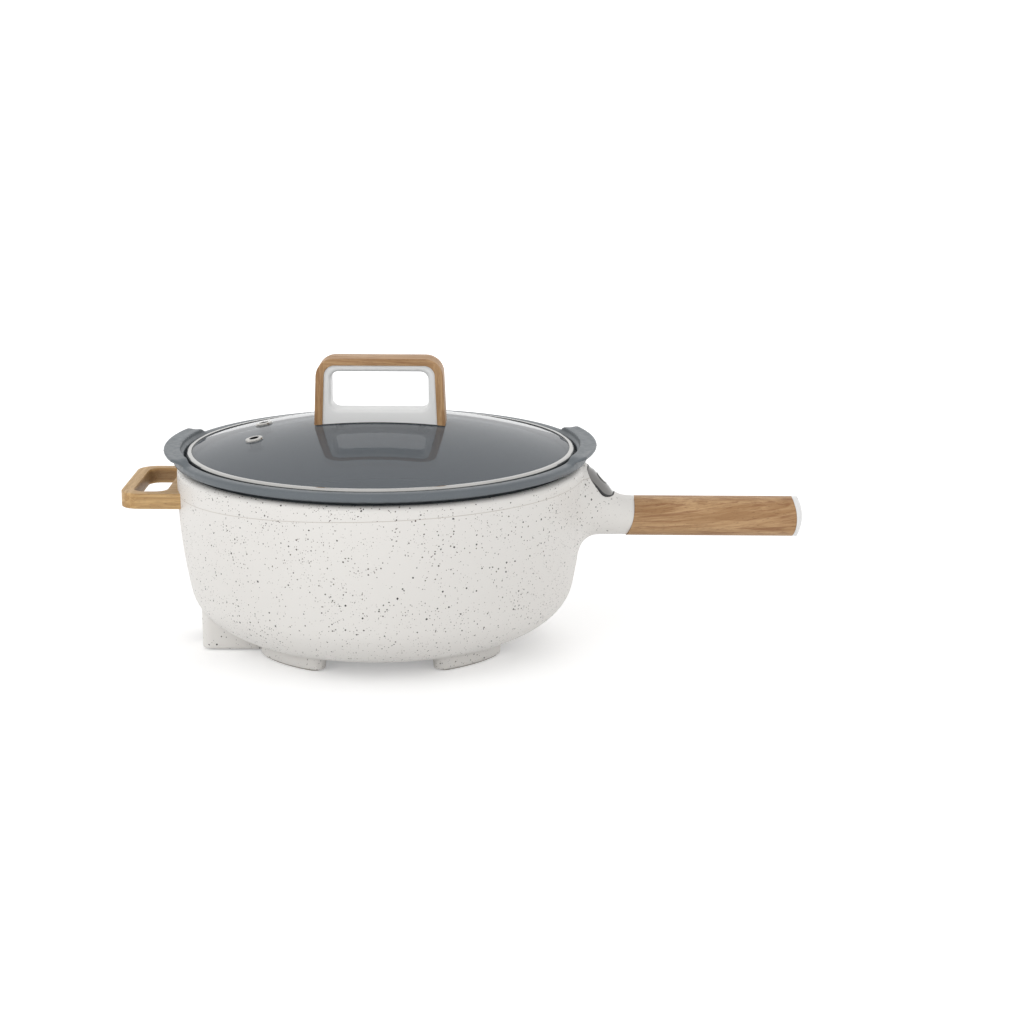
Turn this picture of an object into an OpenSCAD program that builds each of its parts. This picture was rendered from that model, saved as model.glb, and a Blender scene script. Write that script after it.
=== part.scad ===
// Electric skillet with a lift-out pot, a glass lid, a long handle and a side handle.
// Origin on the pot's axis in the plane of the feet; +X towards the long handle, +Z up.

/* [Housing] */
// Outer radius of the housing at its seam
body_r = 152.5; // [148:0.5:160]
// Height of the housing's top edge above the table
rim_z = 138; // [130:1:150]
// Height of the flat bottom above the table
base_z = 8; // [7:0.5:12]
// Wall thickness of the housing
wall = 2.6; // [2.2:0.1:3]
// Reach of the rounded lower corner, inwards
corner_w = 67; // [60:1:72]
// Height of the rounded lower corner
corner_h = 43; // [38:1:50]
// Lean of the wall above the corner, in degrees
wall_lean = 12; // [8:0.5:14]
// Height of the separate ring above the seam
ring_h = 12.5; // [10:0.5:15]
// Rounding of the top edge
ring_round = 3.5; // [2:0.5:5]

/* [Feet] */
// How far the foot arcs stand in from the housing's side
foot_inset = 51.5; // [46:0.5:56]
// Radial width of a foot
foot_w = 12; // [9:0.5:15]
// Angle from the front line to the middle of a foot, in degrees
foot_angle = 44.5; // [35:0.5:50]
// How far the ring of feet is turned from square, in degrees
foot_turn = 2.5; // [-5:0.5:5]
// Angle that a foot spans between its end centres, in degrees
foot_span = 29; // [16:1:34]
// Thickness of the rubber foot pads
pad_t = 1.6; // [1:0.1:3]

/* [Long handle] */
// Depth of the handle's middle line below the housing's top edge
grip_drop = 40.8; // [38:0.2:46]
// Height of the handle's section
grip_h = 29.2; // [26:0.2:34]
// Width of the handle's section
grip_w = 27; // [24:0.5:32]
// Corner radius of the handle's section
grip_round = 11.5; // [8:0.5:12.5]
// Reach of the neck beyond the housing
neck_len = 37.7; // [34:0.1:45]
// Length of the handle from the neck's end to its tip
grip_len = 126.3; // [100:0.5:150]
// Half the neck's width beside the control panel
neck_half_w = 20; // [18:0.5:23]
// Radius of the neck's flare into the bowl, seen from above
flare_r = 30; // [24:1:36]
// Radius of the fillet under the neck
fillet_r = 14.5; // [10:0.5:20]
// Slope of the neck's top under the control panel, in degrees
slope = 47; // [44:1:52]

/* [Control panel] */
// Length of the panel down the slope
panel_len = 29; // [27:0.2:32]
// Width of the panel across the neck
panel_w = 31; // [27:0.5:32]
// Corner radius of the panel
panel_round = 10; // [6:0.5:13]
// Thickness of the smoked cover
lens_t = 2; // [1.6:0.1:2.6]
// Rise of the cover's middle above its ends
lens_rise = 1.3; // [0.8:0.1:2]
// Radius of the press button
button_r = 5.5; // [4.5:0.25:6]
// Travel of the press button
button_travel = 0.8; // [0.5:0.1:1.2]

/* [Side handle] */
// Reach of the loop beyond the housing
loop_reach = 38; // [33:0.5:48]
// Width of the loop
loop_w = 96.4; // [86:0.5:106]
// Depth of the loop's top face below the housing's seam
loop_drop = 3; // [1:0.5:8]
// Thickness of the loop
loop_t = 11.5; // [9:0.5:13]
// Width of the loop's bars
loop_bar = 8.8; // [7:0.2:11]
// Outer corner radius of the loop
loop_corner = 14.5; // [12:0.5:20]

/* [Pot] */
// Gap between the pot's wall and the heat shield round it
pot_gap = 1.7; // [1.4:0.1:4]
// Height of the pot's bottom above the table
pot_z = 38; // [36:0.5:42]
// Wall thickness of the pot
pot_wall = 2.8; // [2.2:0.1:3.2]
// Reach of the pot's flange beyond the housing
flange_over = 2.5; // [1:0.25:6]
// Height of the flange's outer face
flange_h = 6; // [5.5:0.1:7]
// Height of the flange's top above the housing's top edge
flange_rise = 10; // [9.5:0.1:12]
// Reach of the two ears beyond the flange
ear_reach = 7; // [4:0.5:13]
// How far the pot is turned from square, in degrees
pot_turn = 3; // [-5:0.5:5]

/* [Lid] */
// Reach of the lid's steel rim beyond the pot's wall
lid_over = 1.5; // [0.5:0.25:2]
// Radius of the glass dome
dome_r = 500; // [450:5:600]
// Thickness of the glass
glass_t = 3.6; // [3:0.1:4]
// Visible width of the steel rim
rim_w = 3.6; // [3:0.2:5.4]
// Distance from the lid's centre to a steam vent
vent_pitch = 96; // [88:1:102]
// Angle between the two steam vents, in degrees
vent_angle = 35; // [28:1:50]

/* [Lid handle] */
// Width of the lid handle at its foot
knob_w = 98; // [88:1:108]
// Depth of the lid handle
knob_d = 22; // [18:0.5:26]
// Height of the lid handle above the glass dome's top
knob_h = 48.5; // [44:0.1:54]
// Outer corner radius of the lid handle
knob_corner = 13; // [11:0.5:15]
// Width of the finger opening
hole_w = 72.6; // [66:0.2:76]
// Height of the finger opening
hole_h = 28.8; // [25:0.2:31]

/* [Power inlet] */
// How far the inlet's end face stands in from the housing's side
inlet_in = 18.8; // [17.5:0.1:20]
// Width of the inlet's block
inlet_w = 80; // [60:0.5:90]
// Height of the inlet's middle line above the table
inlet_z = 13.8; // [13.6:0.1:14.2]

/* [Hidden] */
$fn = 96;
// One overrun for every cut, the gap of a snug fit and the gap of a loose one
over = 1;
snug = 0.05;
gap = 0.15;

// Housing: the lower corner is a quarter ellipse, the wall above it one long bow
corner_steps = 14;
wall_steps = 8;
corner_a = atan(tan(wall_lean) * corner_h / corner_w);
corner_top = base_z + corner_h;
join_z = corner_top - corner_h * sin(corner_a);
seam_z = rim_z - ring_h;
bow_r = (seam_z - join_z) / sin(wall_lean);
flat_r = body_r - bow_r * (1 - cos(wall_lean)) - corner_w * cos(corner_a);
inner_r = body_r - wall;

// Radii and heights that follow from the housing's, the outer parts first
foot_r = body_r - foot_inset;
neck_end_x = body_r + neck_len;
tip_x = neck_end_x + grip_len;
grip_z = rim_z - grip_drop;
loop_x = body_r + loop_reach;
loop_z = seam_z - loop_drop;
inlet_x = body_r - inlet_in;
shield_gap = 3.9;
shield_t = 0.8;
shield_r = inner_r - shield_gap;
pot_r = shield_r - shield_t - pot_gap;
lid_r = pot_r + lid_over;
flange_r = body_r + flange_over;
ear_r = flange_r + ear_reach;

// Ring: an inner lip round the pot, and a tongue that snaps into the lower shell
lip_t = 1.6;
lip_low = 8;
tongue_t = 1.6;
tongue_h = 6;
lip_r = inner_r - tongue_t - lip_t - 2 * gap;

// Base cover, its screws and the bosses in the floor
cover_edge = 3.7;
cover_t = 2.4;
cover_lap = 14;
cover_r = flat_r - cover_edge;
cover_hole_r = cover_r - cover_lap;
cover_low = base_z - cover_t;
boss_ring_r = cover_r - cover_lap / 2;
boss_r = 3.8;
boss_h = 8;
pilot_r = 1.45;
screw_r = 1.4;
screw_head_r = 2.9;
screw_head_h = 1.5;
vent_w = 3;
vent_l = 26;
vent_step = 7;
vent_n = 5;

// Feet: pads sit in recesses of the foot arcs
foot_clear = 0.6;
foot_mid_r = foot_r - foot_w / 2;
pad_inset = 1.6;

// Heat shield
shield_z = 24.2;
shield_top = rim_z - lip_low;
shield_lip = 2;
shield_boss_out = 18.3;
shield_boss_r = flat_r + shield_boss_out;
shield_boss_w = 4.5;
shield_screw_l = 8;
shield_corner = 3;

// Heating plate, element and probe
plate_inset = 15.5;
plate_t = 9;
plate_low = pot_z - plate_t;
plate_bore = 15;
plate_edge = 1.5;
element_inset = 18;
element_tube = 3.5;
element_up = 2.5;
element_z = plate_low + element_up;
terminal_angle = 14;
terminal_r = 2.4;
terminal_low = 18;
terminal_hole = 4.2;
spacer_r = 5;
spacer_bore = 2.3;
plate_screw_r = 2;
plate_screw_head = 4;
plate_screw_head_h = 1.8;
plate_screw_bite = 4;
guide_flange_r = 12;
guide_flange_t = 1;
guide_r = 8;
guide_low = 20;
guide_high = plate_low;
probe_stem_r = 6;
probe_cap_r = 13.5;
probe_cap_t = 5;
probe_skirt_t = 1.4;
probe_skirt_h = 3;
clip_r = 8.5;
clip_t = 0.8;
groove_d = 0.8;
spring_r = 10;
spring_wire = 0.6;
spring_turns = 4;
spring_steps = 16;
spring_sides = 6;
cutout_r = 8;
cutout_at = -28;
fuse_r = 1.9;
fuse_l = 14;
fuse_at = 27;

// Power board on the base cover's pillars
board_l = 62;
board_w = 44;
board_t = 1.6;
board_x = -24;
board_up = 5;
board_z = base_z + board_up;
pillar_r = 3;
pillar_edge = 4;
relay_l = 19;
relay_w = 15;
relay_h = 7.4;
cap_r = 4;
cap_h = 6.5;
socket_l = 8;
socket_w = 5;
socket_h = 5;
part_edge = 2.5;

// Neck: cross-sections from the bowl to the handle
neck_power = 2.15;
neck_sides = 48;
neck_steps = 20;
neck_soft = 5;
neck_embed = 4;
neck_over = 4;
neck_cut_r = 45;
neck_cut_up = 8.3;
plug_t = 13;
grip_top = grip_z + grip_h / 2;
grip_low = grip_z - grip_h / 2;
flare_y = neck_half_w + flare_r;
flare_x = sqrt(pow(body_r + flare_r, 2) - pow(flare_y, 2));
root_x = body_r * flare_x / (body_r + flare_r);
fillet_x = body_r - neck_embed + fillet_r;

// Control panel: placed down the slope from the housing's top edge
panel_start = 3.5;
panel_mid = panel_start + panel_len / 2;
panel_x = body_r + panel_mid * cos(slope);
panel_z = rim_z - panel_mid * sin(slope);
panel_n = 8;
barrel_r = 22;
barrel_lift = 0.3;
bezel_t = 1.1;
bezel_lift = 0.15;
bezel_step = 1.2;
seat_deep = 8.4;
pocket_deep = 8.5;
pocket_l = 21.5;
pocket_w = 20.4;
pocket_mid = 0;
pocket_round = 5;
pocket_wall = 2;
pocket_floor = 2;
wire_hole_r = 4;
boss_drop = 1.8;
boss_ring_t = 2.2;
button_crown = 0.1;
button_flange = 1.4;
button_flange_t = 1.2;
stem_r = 2.2;
stem_gap = 0.1;
light_r = 1.2;
light_at = -8.8;
light_step = 4.6;
light_n = 3;
light_proud = 0.05;
pcb_t = 1.2;
switch_w = 6;
switch_h = 1.8;
led_h = 1.8;

// Long handle's inner parts
core_w = 19;
core_h = 21;
core_round = 6;
core_t = 2.2;
core_socket = 5;
core_inset = 11.5;
core_end = tip_x - core_inset;
core_wall = 4;
sleeve_end_r = 37;
sleeve_end = 5;
cap_dome_r = 30;
cap_spigot = 5;
bolt_r = 2.5;
bolt_head_r = 4.4;
bolt_head_h = 4;
nut_r = 4.5;
nut_t = 4;
nut_sides = 6;

// Side handle
loop_round = 2.6;
loop_root = 4;
loop_screw_angle = 14.5;
loop_screw_l = 10;
loop_screw_seat = 0.25;
loop_screw_head = 2.6;
loop_screw_head_h = 1.8;

// Pot
pot_corner_w = 43;
pot_corner_h = 38;
pot_lean = 6;
flange_top = rim_z + flange_rise;
flange_low = flange_top - flange_h;
seat_depth = 5.6;
seat_z = flange_top - seat_depth;
pot_side_r = pot_r - (seat_z - pot_z - pot_corner_h) * tan(pot_lean);
plate_r = pot_side_r - pot_corner_w - plate_inset;
element_r = plate_r - element_inset;
spacer_ring_r = (plate_bore + element_r - element_tube) / 2;
seat_gap = 1.9;
seat_t = 2.4;
flange_round = 2.4;
flange_wall = 2.4;
ear_flat = 17;
ear_foot = 24;
ear_lift = 4.4;
ear_t = 2.5;
ear_root_r = flange_r - flange_round;
ear_dish = 0.7;
ear_steps = 28;

// Lid: the rim folds round the glass edge
rim_sheet = 0.6;
rim_h = 6.7;
rim_round = 1.7;
rim_bottom_w = 5.4;
dome_sides = 360;
lid_low = seat_z;
glass_in = 2.4;
glass_r = lid_r - glass_in;
dome_low_top = lid_low + rim_h - rim_sheet - gap;
dome_z = dome_low_top - (sqrt(pow(dome_r, 2) - pow(lid_r - rim_w, 2)) - dome_r);
vent_r = 6.5;
vent_bore = 3.1;
vent_tube = 4.2;
vent_t = 0.8;
vent_roll = 0.8;
vent_lip_angle = -30;
vent_tilt = asin(vent_pitch / dome_r);

// Lid handle
leg_t = 5.8;
top_t = 7.8;
leg_lean = 2.2;
knob_top = dome_z + knob_h;
gasket_t = 0.8;
gasket_inset = 1.2;
hole_rise = 1.6;
hole_top = knob_top - top_t - hole_rise;
hole_corner = 6;
hole_bevel = 2;
frame_inset = 1;
core_hollow_w = 40;
core_hollow_d = 13;
core_hollow_h = 7;
lid_screw_at = 31;
lid_screw_r = 2;
lid_screw_bite = 9;
lid_screw_head_r = 4;
lid_screw_head_h = 2.2;
washer_r = 6.5;
washer_t = 1.2;
glass_hole_r = 3;

// Inlet
inlet_low = 0.8;
inlet_top = 36;
inlet_deep = 52;
inlet_round = 7;
inlet_edge = 2.2;
shroud_w = 28;
shroud_h = 19.8;
shroud_round = 4;
shroud_t = 1.6;
shroud_deep = 15;
shroud_len = 22;
rebate_w = 32;
rebate_h = 23.4;
rebate_round = 5;
rebate_t = 2;
pin_w = 4;
pin_t = 2;
pin_pitch = 7;
pin_up = 2;
pin_len = 14;
tab_len = 7;

// Wires
wire_r = 0.9;
wire_sides = 8;
wire_steps = 10;

wood = [0.72, 0.52, 0.33];
speckled = [0.9, 0.89, 0.87];
coating = [0.46, 0.49, 0.51];
steel = [0.78, 0.78, 0.76];
white_trim = [0.93, 0.93, 0.93];
black = [0.08, 0.08, 0.08];

function arc(cx, cy, r, a0, a1, n) =
    [for (i = [0:n]) let (a = a0 + (a1 - a0) * i / n) [cx + r * cos(a), cy + r * sin(a)]];

// Rounded rectangle, from its width, height and corner radius
function rounded(w, h, r, n = 6) = concat(
    arc(w / 2 - r, h / 2 - r, r, 0, 90, n), arc(r - w / 2, h / 2 - r, r, 90, 180, n),
    arc(r - w / 2, r - h / 2, r, 180, 270, n), arc(w / 2 - r, r - h / 2, r, 270, 360, n));

// Side of a bowl: the lower corner's ellipse and the bow above it, moved in by off
function bowl_side(off) = concat(
    [for (i = [0:corner_steps]) let (a = 90 - (90 - corner_a) * i / corner_steps)
        [flat_r + (corner_w - off) * cos(a), corner_top - (corner_h - off) * sin(a)]],
    [for (i = [1:wall_steps]) let (a = wall_lean * (1 - i / wall_steps), r = bow_r - off)
        [body_r - off - r * (1 - cos(a)), seam_z - r * sin(a)]]);

// Neck: heights and half width of the section at a distance x from the pot's axis
function smooth(t) = let (u = min(1, max(0, t))) u * u * (3 - 2 * u);
function ridge(x) = rim_z - (x - body_r) * tan(slope);
function neck_top(x) = min(rim_z,
    (ridge(x) + grip_top + sqrt(pow(ridge(x) - grip_top, 2) + pow(neck_soft, 2))) / 2);
function neck_low(x) = let (d = max(0, min(fillet_r, fillet_x - x)))
    grip_low - fillet_r + sqrt(pow(fillet_r, 2) - pow(d, 2));
function neck_flare(x) = let (d = max(0, min(flare_x - root_x, flare_x - x)))
    flare_y - sqrt(pow(flare_r, 2) - pow(d, 2));
function neck_half(x) = neck_flare(x)
    - (neck_half_w - grip_w / 2) * smooth((x - root_x) / (neck_end_x - root_x));
function power(v) = sign(v) * pow(abs(v), 2 / neck_power);
function neck_section(x, off) =
    let (t = neck_top(x) - off, b = neck_low(x) + off, w = neck_half(x) - off)
    [for (i = [0:neck_sides - 1]) let (a = 360 * i / neck_sides)
        [x, w * power(cos(a)), (t + b) / 2 + (t - b) / 2 * power(sin(a))]];

// Heights of the glass dome's two faces at a distance from the axis
function glass_top(r) = dome_z - dome_r + sqrt(pow(dome_r, 2) - pow(r, 2));
function glass_low(r) = dome_z - dome_r + sqrt(pow(dome_r - glass_t, 2) - pow(r, 2));

// A closed skin over rings of points, from the first ring to the last
module loft(rings) {
    n = len(rings[0]);
    m = len(rings);
    polyhedron(points = [for (s = rings) each s], faces = concat(
        [[for (i = [0:n - 1]) i]], [[for (i = [0:n - 1]) m * n - 1 - i]],
        [for (k = [0:m - 2], i = [0:n - 1]) [k * n + i, (k + 1) * n + i, (k + 1) * n + (i + 1) % n]],
        [for (k = [0:m - 2], i = [0:n - 1])
            [k * n + i, (k + 1) * n + (i + 1) % n, k * n + (i + 1) % n]]));
}

// A round tube along a list of points, its rings kept upright to the side direction
function unit(v) = v / norm(v);
module tube(path, r, sides) {
    m = len(path);
    loft([for (k = [0:m - 1])
        let (t = unit(path[min(m - 1, k + 1)] - path[max(0, k - 1)]),
            u = unit(cross(t, abs(t[2]) > 0.9 ? [1, 0, 0] : [0, 0, 1])), v = cross(t, u))
        [for (i = [0:sides - 1]) let (a = -360 * i / sides)
            path[k] + r * (u * cos(a) + v * sin(a))]]);
}

// Curve from a to d that leaves a towards b and reaches d from c
function curve(a, b, c, d, n) = [for (i = [0:n]) let (t = i / n, s = 1 - t)
    a * s * s * s + 3 * b * s * s * t + 3 * c * s * t * t + d * t * t * t];

module screw(length, r, head_r, head_h) {
    translate([0, 0, -length]) cylinder(h = length, r = r, $fn = 32);
    difference() {
        cylinder(h = head_h, r = head_r, $fn = 32);
        for (a = [0, 90]) rotate(a) translate([0, 0, head_h])
            cube([head_r, head_r / 4, head_h], center = true);
    }
}

module along_x(x, length) {
    translate([x, 0, 0]) rotate([90, 0, 90]) linear_extrude(length) children();
}

// Housing
module bowl_solid(off, top) {
    side = bowl_side(off);
    rotate_extrude() polygon(concat([[0, base_z + off]], side, [[body_r - off, top], [0, top]]));
}

module neck_solid(off, x1) {
    x0 = root_x - neck_embed - off;
    loft([for (i = [0:neck_steps]) neck_section(x0 + (x1 - x0) * i / neck_steps, off)]);
}

module neck_cutter(grow) {
    translate([neck_end_x - neck_cut_r, 0, grip_z + neck_cut_up]) rotate([90, 0, 0])
        cylinder(h = body_r, r = neck_cut_r + grow, center = true);
}

module neck_outside() {
    intersection() {
        neck_solid(0, neck_end_x + neck_over);
        neck_cutter(0);
    }
}

module neck_inside() {
    difference() {
        neck_solid(wall, neck_end_x - plug_t);
        on_panel() translate([0, 0, -seat_deep - pocket_floor])
            cover_block(pocket_wall + bezel_t, body_r);
        on_panel() translate([0, 0, -pocket_deep - pocket_floor])
            linear_extrude(pocket_deep) pocket_outline(pocket_wall);
    }
}

module on_panel() {
    translate([panel_x, 0, panel_z]) rotate([0, slope, 0]) children();
}

// Upright block of the smoked cover's outline, grown by off
module cover_block(off, h) {
    g = off - bezel_t;
    linear_extrude(h) polygon(rounded(panel_len + 2 * g, panel_w + 2 * g, panel_round + g, panel_n));
}

// Outline of the pocket for the control board, grown by off
module pocket_outline(off) {
    translate([pocket_mid, 0])
        polygon(rounded(pocket_l + 2 * off, pocket_w + 2 * off, pocket_round + off));
}

// Barrel along the slope whose skin is the smoked cover's outer face, grown by off
module barrel(off) {
    half = panel_len / 2;
    bow = (half * half + lens_rise * lens_rise) / (2 * lens_rise);
    reach = half + wall;
    a = asin(reach / bow);
    mid = barrel_r + lens_rise - bow;
    translate([0, 0, barrel_lift - barrel_r]) rotate([0, 90, 0]) rotate_extrude()
        polygon(concat([[0, -reach]], arc(mid, 0, bow + off, -a, a, wall_steps), [[0, reach]]));
}

module neck_holes() {
    on_panel() {
        difference() {
            translate([0, 0, -seat_deep]) cover_block(bezel_t + snug, body_r);
            barrel(-lens_t - bezel_t);
        }
        translate([0, 0, -pocket_deep]) linear_extrude(pocket_deep) pocket_outline(0);
        translate([pocket_mid + pocket_l / 4, 0, -pocket_deep - pocket_floor - over])
            cylinder(h = pocket_floor + 2 * over, r = wire_hole_r);
    }
}

module foot_outline(inset) {
    half = foot_span / 2;
    r0 = foot_mid_r - foot_w / 2 + inset;
    r1 = foot_mid_r + foot_w / 2 - inset;
    polygon(concat(arc(0, 0, r1, -half, half, 10),
        [for (p = arc(0, 0, foot_w / 2 - inset, 0, 180, 8))
            [foot_mid_r * cos(half) + p[0] * cos(half) - p[1] * sin(half),
             foot_mid_r * sin(half) + p[0] * sin(half) + p[1] * cos(half)]],
        arc(0, 0, r0, half, -half, 10),
        [for (p = arc(0, 0, foot_w / 2 - inset, 180, 360, 8))
            [foot_mid_r * cos(half) + p[0] * cos(half) + p[1] * sin(half),
             -foot_mid_r * sin(half) - p[0] * sin(half) + p[1] * cos(half)]]));
}

module at_feet() {
    for (a = [foot_angle, -foot_angle, 180 - foot_angle, foot_angle - 180])
        rotate(a - 90 + foot_turn) children();
}

module inlet_block() {
    r = inlet_round;
    hull() for (x = [r - inlet_x, inlet_deep - inlet_x], y = [-1, 1])
        translate([x, y * (inlet_w / 2 - r), 0]) {
            for (a = [0, 45, 90]) translate([0, 0, inlet_low + inlet_edge * (1 - sin(a))])
                cylinder(h = inlet_edge, r = r - inlet_edge * (1 - cos(a)), $fn = 32);
            translate([0, 0, inlet_low + inlet_edge])
                cylinder(h = inlet_top - inlet_low - inlet_edge, r = r, $fn = 32);
        }
}

module inlet_hollow() {
    along_x(-inlet_x + rebate_t + wall, inlet_deep + over) translate([0, inlet_z])
        square([inlet_w - 2 * wall, 2 * (inlet_z - inlet_low - wall)], center = true);
}

module outer_shell() {
    color(speckled) difference() {
        union() {
            bowl_solid(0, seam_z);
            neck_outside();
            inlet_block();
            at_feet() translate([0, 0, foot_clear])
                linear_extrude(base_z - foot_clear + 2 * wall) foot_outline(0);
        }
        difference() {
            union() {
                bowl_solid(wall, seam_z + over);
                neck_inside();
            }
            shell_bosses();
        }
        translate([0, 0, seam_z]) linear_extrude(body_r) square(4 * body_r, center = true);
        difference() {
            inlet_hollow();
            translate([0, 0, inlet_low]) cylinder(h = base_z, r = cover_r + gap);
        }
        translate([0, 0, -over]) cylinder(h = base_z + wall + 2 * over, r = cover_hole_r);
        along_x(-inlet_x - over, inlet_deep) translate([0, inlet_z])
            polygon(rounded(shroud_w + 2 * gap, shroud_h + 2 * gap, shroud_round));
        along_x(-inlet_x - over, rebate_t + over) translate([0, inlet_z])
            polygon(rounded(rebate_w + 2 * gap, rebate_h + 2 * gap, rebate_round));
        neck_holes();
        neck_socket();
        shell_pilots();
        at_feet() linear_extrude(pad_t) foot_outline(pad_inset);
        loop_screw_places() cylinder(h = 2 * shield_gap + wall, r = screw_r + gap, center = true,
            $fn = 32);
    }
}

module shell_bosses() {
    for (a = [45:90:315]) rotate(a) translate([boss_ring_r, 0, base_z])
        cylinder(h = wall + boss_h, r = boss_r, $fn = 32);
    for (a = [45:90:315]) rotate(a) translate([shield_boss_r, 0, base_z])
        cylinder(h = shield_z - base_z, r = shield_boss_w, $fn = 32);
}

module shell_pilots() {
    for (a = [45:90:315]) rotate(a) translate([boss_ring_r, 0, base_z - over])
        cylinder(h = boss_h + over, r = pilot_r, $fn = 32);
    for (a = [45:90:315]) rotate(a) translate([shield_boss_r, 0, shield_z - shield_screw_l])
        cylinder(h = shield_screw_l + over, r = pilot_r, $fn = 32);
}

module neck_socket() {
    along_x(neck_end_x - core_socket, core_socket + neck_over) translate([0, grip_z])
        polygon(rounded(core_w + 2 * gap, core_h + 2 * gap, core_round));
    translate([neck_end_x - plug_t - over, 0, grip_z]) rotate([0, 90, 0])
        cylinder(h = plug_t + over, r = bolt_r + gap, $fn = 32);
}

module top_ring() {
    color(speckled) difference() {
        union() {
            rotate_extrude() polygon(concat(
                [[inner_r, seam_z], [body_r, seam_z]],
                arc(body_r - ring_round, rim_z - ring_round, ring_round, 0, 90, 6),
                [[lip_r, rim_z], [lip_r, rim_z - lip_low], [lip_r + lip_t, rim_z - lip_low],
                 [lip_r + lip_t, rim_z - wall], [inner_r - tongue_t - gap, rim_z - wall],
                 [inner_r - tongue_t - gap, seam_z - tongue_h],
                 [inner_r - gap, seam_z - tongue_h], [inner_r - gap, seam_z]]));
            difference() {
                neck_outside();
                difference() {
                    neck_inside();
                    translate([0, 0, rim_z - wall]) cylinder(h = wall, r = body_r);
                }
                translate([0, 0, seam_z - body_r]) linear_extrude(body_r)
                    square(4 * body_r, center = true);
                cylinder(h = 2 * rim_z, r = inner_r);
            }
        }
        neck_holes();
        translate([root_x - over, 0, seam_z - tongue_h - over]) linear_extrude(tongue_h + over)
            square([4 * ring_h, 2 * neck_half_w], center = true);
    }
}

module base_cover() {
    color(speckled) difference() {
        union() {
            translate([0, 0, cover_low]) cylinder(h = cover_t, r = cover_r);
            board_corners() translate([0, 0, base_z - over])
                cylinder(h = board_z - base_z + over, r = pillar_r, $fn = 32);
        }
        for (a = [45:90:315]) rotate(a) translate([boss_ring_r, 0, cover_low - over]) {
            cylinder(h = cover_t + 2 * over, r = screw_r + gap, $fn = 32);
            cylinder(h = screw_head_h + over, r = screw_head_r + gap, $fn = 32);
        }
        for (i = [0:vent_n - 1]) translate([(vent_n - 1 - i) * vent_step + 2 * vent_step, 0, 0])
            translate([0, 0, cover_low - over]) linear_extrude(cover_t + 2 * over)
                polygon(rounded(vent_w, vent_l, vent_w / 2));
    }
}

module base_screws() {
    color(steel) for (a = [45:90:315]) rotate(a)
        translate([boss_ring_r, 0, cover_low + screw_head_h]) rotate([180, 0, 0])
            screw(boss_h, screw_r, screw_head_r, screw_head_h - gap);
}

module foot_pads() {
    color(black) at_feet() linear_extrude(pad_t) foot_outline(pad_inset + gap);
}

module heat_shield() {
    off = wall + shield_gap;
    outer = [for (p = bowl_side(off)) if (p[1] > shield_z + shield_corner) p];
    inner = [for (p = bowl_side(off + shield_t)) if (p[1] > shield_z + shield_corner) p];
    color(steel) difference() {
        rotate_extrude() polygon(concat(
            [[0, shield_z], [outer[0][0] - shield_corner, shield_z]], outer,
            [[shield_r, shield_top - shield_t], [shield_r + shield_lip, shield_top - shield_t],
             [shield_r + shield_lip, shield_top], [shield_r - shield_t, shield_top]],
            [for (i = [len(inner) - 1:-1:0]) inner[i]],
            [[inner[0][0] - shield_corner, shield_z + shield_t], [0, shield_z + shield_t]]));
        translate([0, 0, shield_z - over]) {
            cylinder(h = shield_t + 2 * over, r = guide_r + snug);
            for (a = [45:90:315]) rotate(a) translate([shield_boss_r, 0, 0])
                cylinder(h = shield_t + 2 * over, r = screw_r + gap, $fn = 32);
            for (a = [0:120:240]) rotate(a) translate([spacer_ring_r, 0, 0])
                cylinder(h = shield_t + 2 * over, r = plate_screw_r + gap, $fn = 32);
            for (s = [-1, 1]) rotate(180 + s * terminal_angle) translate([element_r, 0, 0])
                cylinder(h = shield_t + 2 * over, r = terminal_hole, $fn = 32);
        }
    }
}

module shield_screws() {
    color(steel) for (a = [45:90:315]) rotate(a)
        translate([shield_boss_r, 0, shield_z + shield_t])
            screw(shield_screw_l, screw_r, screw_head_r, screw_head_h);
}

// Heating
module heating_plate() {
    color([0.7, 0.7, 0.72]) difference() {
        rotate_extrude() polygon([[plate_bore, plate_low], [plate_r - plate_t / 3, plate_low],
            [plate_r, plate_low + plate_t / 3], [plate_r, pot_z - plate_edge],
            [plate_r - plate_edge, pot_z], [plate_bore, pot_z]]);
        rotate_extrude() translate([element_r, element_z]) circle(r = element_tube + snug, $fn = 32);
        rotate_extrude() translate([element_r - element_tube - snug, plate_low - over])
            square([2 * (element_tube + snug), element_z - plate_low + over]);
        for (a = [0:120:240]) rotate(a) translate([spacer_ring_r, 0, plate_low - over])
            cylinder(h = plate_screw_bite + over, r = plate_screw_r + snug, $fn = 32);
    }
}

module heating_element() {
    color([0.45, 0.44, 0.42]) {
        difference() {
            translate([0, 0, element_z]) rotate_extrude() translate([element_r, 0])
                circle(r = element_tube, $fn = 32);
            rotate(180 - terminal_angle / 2) rotate_extrude(angle = terminal_angle)
                translate([element_r - 2 * element_tube, element_z - 2 * element_tube])
                    square(4 * element_tube);
        }
        for (s = [-1, 1]) rotate(180 + s * terminal_angle)
            translate([element_r, 0, terminal_low])
                cylinder(h = element_z - terminal_low, r = terminal_r, $fn = 32);
    }
}

module plate_spacers() {
    color(steel) for (a = [0:120:240]) rotate(a)
        translate([spacer_ring_r, 0, shield_z + shield_t]) difference() {
            cylinder(h = plate_low - shield_z - shield_t, r = spacer_r, $fn = 32);
            translate([0, 0, -over]) cylinder(h = plate_low, r = spacer_bore, $fn = 32);
        }
}

module plate_screws() {
    color(steel) for (a = [0:120:240]) rotate(a) translate([spacer_ring_r, 0, shield_z])
        rotate([180, 0, 0]) screw(plate_low - shield_z + plate_screw_bite - gap, plate_screw_r,
            plate_screw_head, plate_screw_head_h);
}

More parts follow.
